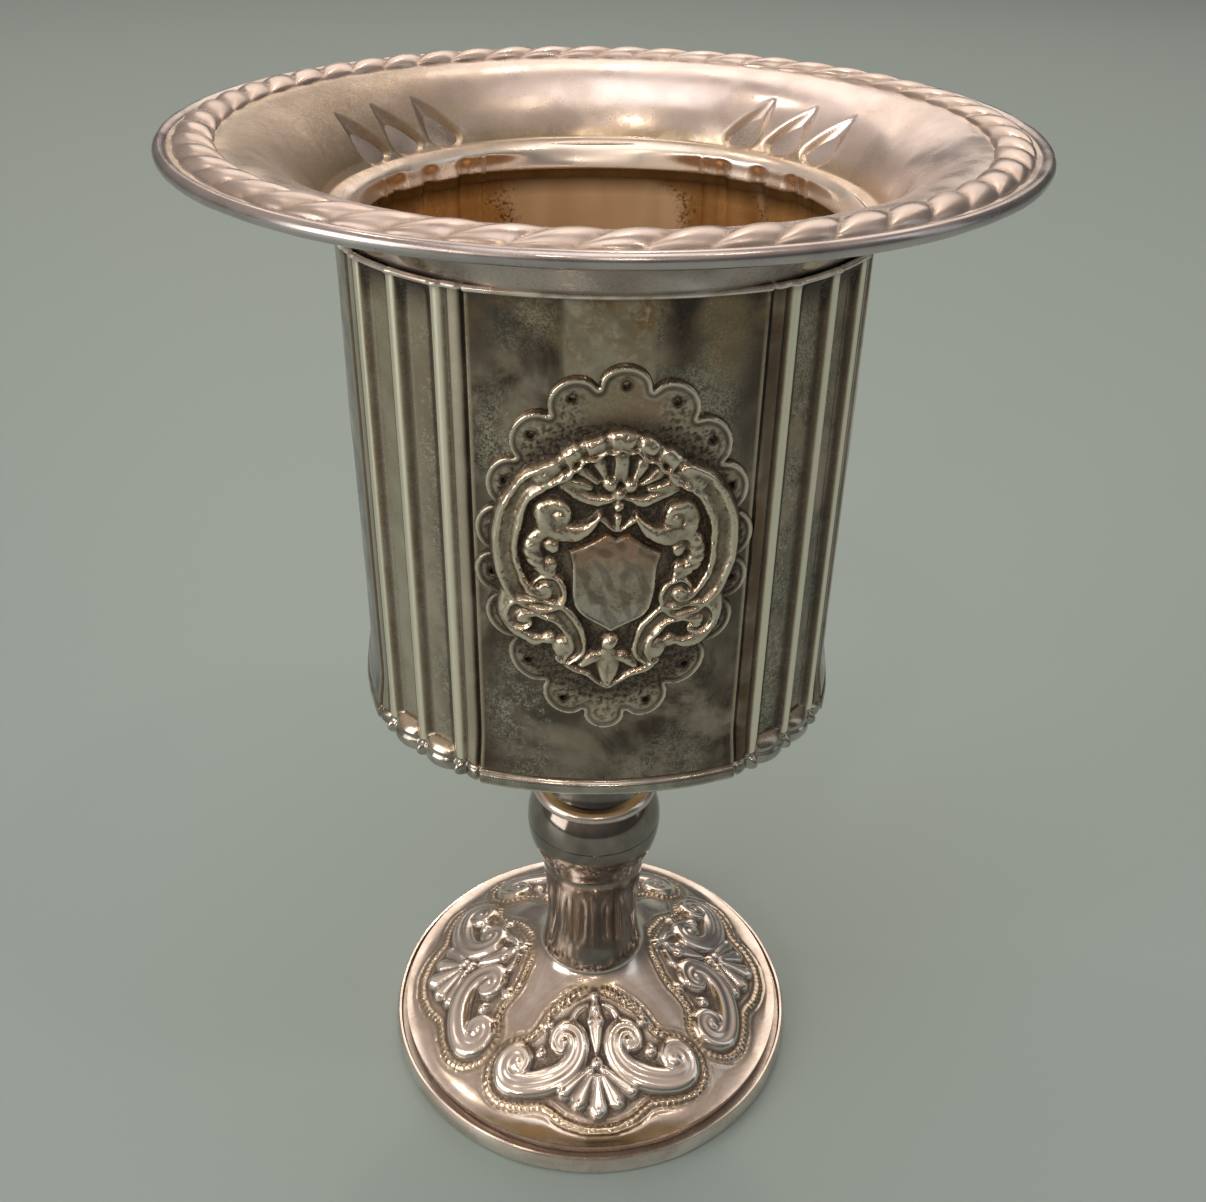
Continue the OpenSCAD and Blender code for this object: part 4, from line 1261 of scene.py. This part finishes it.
def dome_path():
    """Upper surface of the foot's dome, from the stem outwards, at evenly spaced points."""
    start = np.array([DOME_IN, STEM_LOW])
    cone_in, cone_out = np.array([12.5, 13.7]), np.array([29.0, 5.3])
    path = joined(bezier(start, start + [0, -1.1], [10.4, 14.8], cone_in, 16),
                  np.linspace(cone_in, cone_out, 30),
                  bezier(cone_out, [30, 4.9], [31, 4.65], [DOME_OUT, DOME_EDGE_Z], 8))
    return even(path, 118)


def foot_relief(x, y):
    """Embossed cartouche of the foot, x sideways and y away from the axis."""
    s = np.abs(x)
    arm = joined(spiral([5.1, 17.5], 1.0, 2.3, 430, 180, 16),
                 bezier([2.8, 18.0], [2.9, 20.8], [6.0, 22.7], [10.0, 22.6], 12),
                 bezier([10.0, 22.6], [13.0, 22.5], [14.9, 21.6], [15.0, 19.7], 8),
                 spiral([12.6, 19.4], 2.4, 1.1, 8, -235, 16))
    frond = through([(1.3, 12.4), (3.0, 13.3), (3.8, 15.0), (3.0, 16.0)])
    strokes = [
        (hollowed, 1.1, arm, (1.5, 1.6, 4.1)),
        (rounded, 1.0, ((0, 22.4), (0, 26.6)), (1.2, 3.3)),
        (rounded, 0.95, ((0.9, 22.4), (2.9, 25.6)), (1.2, 2.9)),
        (rounded, 0.9, ((1.6, 21.8), (5.2, 24.2)), (1.1, 2.6)),
        (rounded, 0.7, ((0, 11.5), (0, 19.0)), (1.0, 1.0, 2.6)),
        (rounded, 0.6, frond, (0.8, 0.7, 1.4))]
    bosses = [((5.1, 17.5), 1.3, 1.1), ((12.6, 19.4), 1.5, 1.15), ((0, 20.6), 1.1, 1.0),
              ((1.2, 21.6), 0.9, 0.95), ((0.8, 14.8), 0.8, 0.9), ((0, 12.8), 0.8, 0.9),
              ((0, 11.0), 0.85, 0.9), ((8.9, 18.4), 1.0, 0.7), ((7.6, 14.4), 1.0, 0.55),
              ((0, 27.2), 1.2, 1.1), ((3.1, 26.0), 1.1, 1.05), ((5.5, 24.3), 1.0, 1.0)]
    return raised(s, y, strokes, bosses)


def foot_border(x, y):
    """Distance from the line round a cartouche, and the beads along it from 0 to 1."""
    bead_length = 0.95
    line = even(through([(1.0, 9.9), (4.0, 11.0), (7.2, 12.6), (9.4, 15.0), (11.2, 15.9),
                         (14.2, 16.0), (17.0, 18.0), (17.5, 21.2), (15.8, 23.8), (12.4, 25.2),
                         (8.6, 25.9), (5.6, 28.0), (2.4, 29.2), (0, 29.4)]), 110)
    distance = np.full(x.shape, 9.0)
    beads = np.zeros(x.shape)
    length = np.hypot(*(line[1] - line[0]))
    for i, (start, end) in enumerate(zip(line, line[1:])):
        here, t = to_segment(np.abs(x), y, start, end)
        along = np.abs(np.sin(np.pi * (i + t) * length / bead_length))
        beads = np.where(here < distance, along, beads)
        distance = np.minimum(distance, here)
    return distance, beads


def dome_quarter(path):
    """Relief of one quarter of the foot, and its marks, at each point of the dome's path.

    The blurs work on three copies side by side, of which the middle one is kept.
    """
    rows = DOME_ROWS // 4
    middle = slice(rows, 2 * rows)
    offset = np.radians(full_turn(DOME_ROWS)[:rows] - 45)
    r = path[None, :, 0]
    x, y = r * np.sin(offset)[:, None], r * np.cos(offset)[:, None]
    relief = foot_relief(x, y)
    from_line, beads = foot_border(x, y)
    line = 0.36 * rounded(from_line / 0.55) * (0.25 + 0.75 * beads)
    outside = 0.12 * bump(from_line, 1.15, 0.35)
    pitted = smooth(waves(np.stack([x, y], -1), 0.9, 92, 16), 0, 1)
    ground = -0.10 * smooth(from_line, 1.6, 0.7) * pitted
    height = relief + np.where(relief < 0.1, line + outside + ground, 0)
    height = blurred(np.tile(height, (3, 1)), 0.7)[middle]
    fade = smooth(path[:, 0], DOME_IN + 1.2, DOME_IN + 3) * smooth(path[:, 0], 31.4, 30.2)
    height = 1.12 * height * fade[None, :]
    both = hollows_and_crests(np.tile(height, (3, 1)), 4.5, 0.32)
    hollow, crest = (values[middle] for values in both)
    warm = 0.6 * smooth(from_line, 1.8, 0.4) + 0.3 * smooth(relief, 0.3, 0.05) * (from_line < 3)
    return height, {"soot_and_shade": np.clip(1.1 * hollow, 0, 1), "rub_and_sheen": np.clip(1.3 * crest, 0, 1),
                    "warm": warm}


def build_dome():
    """Domed foot with four embossed cartouches, their beaded outlines and plain ground."""
    path = dome_path()
    normals = left_normals(path)
    height, quarter_marks = dome_quarter(path)
    keep = sorted({*range(0, len(path), 12), len(path) - 1}, reverse=True)
    under = (path - SHEET * normals)[keep]
    surface = path + np.tile(height, (4, 1))[..., None] * normals
    section = np.hstack([surface, np.tile(under, (DOME_ROWS, 1, 1))])
    r, z = section[..., 0], section[..., 1]
    points = around(r, z, full_turn(DOME_ROWS) - 135)
    points[..., 2] += 0.05 * waves(points, 10, 93) * smooth(r, 9, 11) * smooth(r, 31, 29)
    under_marks = {"soot_and_shade": 0.3, "rub_and_sheen": 0.0, "warm": 0.4}
    marks = {key: np.hstack([np.tile(value, (4, 1)),
                             np.full((DOME_ROWS, len(keep)), under_marks[key])])
             for key, value in quarter_marks.items()}
    ring_piece("embossed_foot", points, [foot_metal], "foot_dome", marks,
               crisp=55)


def build_foot_rings():
    """Dark riser and the rounded ring that the goblet stands on."""
    top = DOME_EDGE_Z - SHEET
    riser = [[STEP_IN, STEP_LOW], [STEP_OUT - 0.12, STEP_LOW], [STEP_OUT, STEP_LOW + 0.15],
             [STEP_OUT, top - 0.1], [STEP_OUT - 0.1, top], [STEP_IN, top]]
    turned("dark_riser", riser, groove_metal, "foot_step_ring", count=240)
    inner_r = radii("foot_ring")[0]
    roll = bezier([FOOT_R - 0.75, 0.0], [FOOT_R + 0.12, 0.05], [FOOT_R + 0.1, 2.2],
                  [FOOT_R - 0.62, FOOT_RING_H], 16)
    groove = [[FOOT_R - 0.95, FOOT_RING_H - 0.06], [FOOT_R - 1.1, FOOT_RING_H - 0.3],
              [FOOT_R - 1.2, STEP_LOW], [inner_r, STEP_LOW]]
    ring = np.vstack([[[inner_r, 0.15], [inner_r + 0.15, 0.0], [FOOT_R - 1.6, 0.0]], roll, groove])
    in_groove = np.arange(len(ring)) >= len(ring) - 3
    turned("standing_ring", ring, ring_metal, "foot_ring", count=300,
           marks={"soot_and_shade": 0.4 * in_groove})


# ---------- Tie rod and clamp ----------


def build_rod():
    """Tie rod with a screw thread cut into its lower end."""
    rod_r = radii("tie_rod")[1]
    pitch, depth, threaded, count = 0.8, 0.4, 9, 32
    start, end = low("tie_rod"), high("tie_rod")
    z = np.concatenate([np.linspace(start, start + threaded, 136),
                        np.linspace(start + threaded + 0.6, end, 12)])
    angles = full_turn(count)
    phase = (z[None, :] / pitch - angles[:, None] / 360) % 1
    runout = smooth(z, start + threaded - 0.4, start + threaded - 1.4)
    cut = depth * (1 - np.abs(2 * phase - 1)) * runout
    chamfer = 0.5 * smooth(z, start + 0.5, start)
    r = np.minimum(rod_r - cut, rod_r - chamfer[None, :])
    r[:, 0] = r[:, 0].min()
    first = np.arange(count)[None, :] * len(z)
    faces = [grid_quads(count, len(z), True), first[:, ::-1], first + len(z) - 1]
    make_piece("threaded_rod", around(r, z[None, :], angles), faces, [steel],
               ["tie_rod"], {"soot_and_shade": cut * 1.4})


def build_clamp():
    """Dished clamp plate and flat washer under the foot."""
    bore, plate_r = radii("clamp_plate")
    z0, z1 = low("clamp_plate"), high("clamp_plate")
    brim = [[bore, z0 + 0.1], [bore + 0.1, z0], [plate_r - 0.15, z0], [plate_r, z0 + 0.15],
            [plate_r, z1 - 0.78], [plate_r - 0.1, z1 - 0.76], [plate_r - 1.5, z1 - 0.02],
            [plate_r - 1.65, z1 - 0.1], [plate_r - 2.9, z0 + 1.25], [bore + 0.1, z0 + 1.2],
            [bore, z0 + 1.1]]
    turned("clamp_disc", brim, brass, "clamp_plate", count=120, wobble=0)
    bore, edge = radii("clamp_washer")
    z0, z1 = low("clamp_washer"), high("clamp_washer")
    ring = [[bore, z0 + 0.08], [bore + 0.08, z0], [edge - 0.2, z0], [edge, z0 + 0.2],
            [edge, z1 - 0.1], [edge - 0.1, z1], [bore, z1]]
    turned("flat_washer", ring, steel, "clamp_washer", count=96, wobble=0)


def build_nut():
    """Hexagon nut, chamfered at both ends."""
    bore, corner = radii("clamp_nut")
    z0, z1 = low("clamp_nut"), high("clamp_nut")
    angles = full_turn(144)
    flat_r = corner * math.cos(math.pi / 6)
    hexagon = flat_r / np.cos(np.radians(angles % 60 - 30))
    heights = np.concatenate([np.linspace(0, 0.6, 7), np.linspace(z1 - z0 - 0.6, z1 - z0, 7)])
    cone = flat_r - 0.12 + 1.7 * np.minimum(heights, z1 - z0 - heights)
    inner = np.tile([bore + 0.3, bore, bore, bore + 0.3], (len(angles), 1))
    r = np.hstack([np.minimum(hexagon[:, None], cone[None, :]), inner])
    z = np.concatenate([z0 + heights, [z1, z1 - 0.3, z0 + 0.3, z0]])[None, :]
    ring_piece("hex_nut", around(r, z, angles), [brass], "clamp_nut",
               crisp=30)


# ---------- Stage, light and camera ----------


def build_stage():
    """Plain pale floor."""
    material, _, shader = new_material("pale_floor")
    shader.inputs["Base Color"].default_value = (0.335, 0.42, 0.42, 1)
    shader.inputs["Roughness"].default_value = 0.45
    corners = around(np.array([[FLOOR_RADIUS_M]]), np.array([[0.0]]), full_turn(96))[:, 0]
    mesh = bpy.data.meshes.new("floor")
    mesh.from_pydata(corners.tolist(), [], [range(len(corners))])
    mesh.materials.append(material)
    floor = bpy.data.objects.new("floor", mesh)
    bpy.context.scene.collection.objects.link(floor)


def add_area(name, place_m, target_m, size, power, colour):
    """Soft area light that faces a target."""
    data = bpy.data.lights.new(name, "AREA")
    data.shape = "RECTANGLE"
    data.size, data.size_y = size
    data.energy = power
    data.color = colour
    light = bpy.data.objects.new(name, data)
    light.location = place_m
    light.rotation_euler = (Vector(target_m) - Vector(place_m)).to_track_quat("-Z", "Y").to_euler()
    bpy.context.scene.collection.objects.link(light)


def build_lights():
    """Soft boxes above and at the sides, and small warm lamps for the bright glints."""
    target = (0, 0, 0.09)
    warm, soft, cool = (1.0, 0.88, 0.76), (1.0, 0.96, 0.91), (0.88, 0.97, 1.0)
    add_area("back_box", (0.15, 1.1, 0.95), target, (1.5, 0.9), 4.6, warm)
    add_area("left_box", (-1.1, -0.5, 0.5), target, (0.7, 0.8), 4.8, soft)
    add_area("right_box", (1.1, -0.1, 0.6), target, (0.35, 1.0), 0.6, cool)
    add_area("top_box", (-0.1, -0.2, 1.5), target, (0.9, 0.9), 3.2, soft)
    lamps = ((0.10, 0.75, 1.15), (-0.55, 0.35, 1.2), (-0.25, -0.75, 1.0), (0.45, -0.35, 1.25),
             (0.05, -1.0, 0.75), (-0.6, -0.8, 0.5))
    for i, place_m in enumerate(lamps):
        add_area(f"lamp_{i}", place_m, target, (0.06, 0.06), 0.55, (1.0, 0.86, 0.70))


def build_world():
    """Grey studio surroundings: lighter and warmer overhead, darker towards the horizon."""
    world = bpy.data.worlds.new("studio")
    bpy.context.scene.world = world
    world.use_nodes = True
    tree = world.node_tree
    direction = add_node(tree, "ShaderNodeTexCoord").outputs["Generated"]
    parts = add_node(tree, "ShaderNodeSeparateXYZ", {"Vector": direction}).outputs
    height = ramp(total(parts["Z"], product(parts["X"], -0.30)), -0.05, 0.95)
    colour = mix(height, (0.12, 0.12, 0.115), (0.62, 0.53, 0.46))
    tree.links.new(colour, tree.nodes["Background"].inputs["Color"])
    tree.nodes["Background"].inputs["Strength"].default_value = 0.8


def build_camera():
    """Camera a little above the rim, close in front of the front plaque."""
    data = bpy.data.cameras.new("camera")
    data.sensor_width = 36
    data.lens = 38.69
    data.clip_start = 0.01
    camera = bpy.data.objects.new("camera", data)
    heading, pitch, roll = math.radians(86.53), math.radians(32.1), math.radians(1.1)
    camera.location = Vector((-8.7, -157.0, 182.9)) * MM
    forward = Vector((math.cos(pitch) * math.cos(heading), math.cos(pitch) * math.sin(heading),
                      -math.sin(pitch)))
    turn = forward.to_track_quat("-Z", "Y").to_matrix() @ Matrix.Rotation(roll, 3, "Z")
    camera.rotation_euler = turn.to_euler()
    bpy.context.scene.collection.objects.link(camera)
    bpy.context.scene.camera = camera
    bpy.context.scene.view_settings.view_transform = "Standard"


build_flange()
build_rope()
build_wire()
build_neck_bead()
build_bowl()
build_moulding()
build_floor()
build_plates()
build_frames()
build_shields()
build_tube()
build_knop()
build_neck()
build_dome()
build_foot_rings()
build_rod()
build_clamp()
build_nut()
build_stage()
build_lights()
build_world()
build_camera()
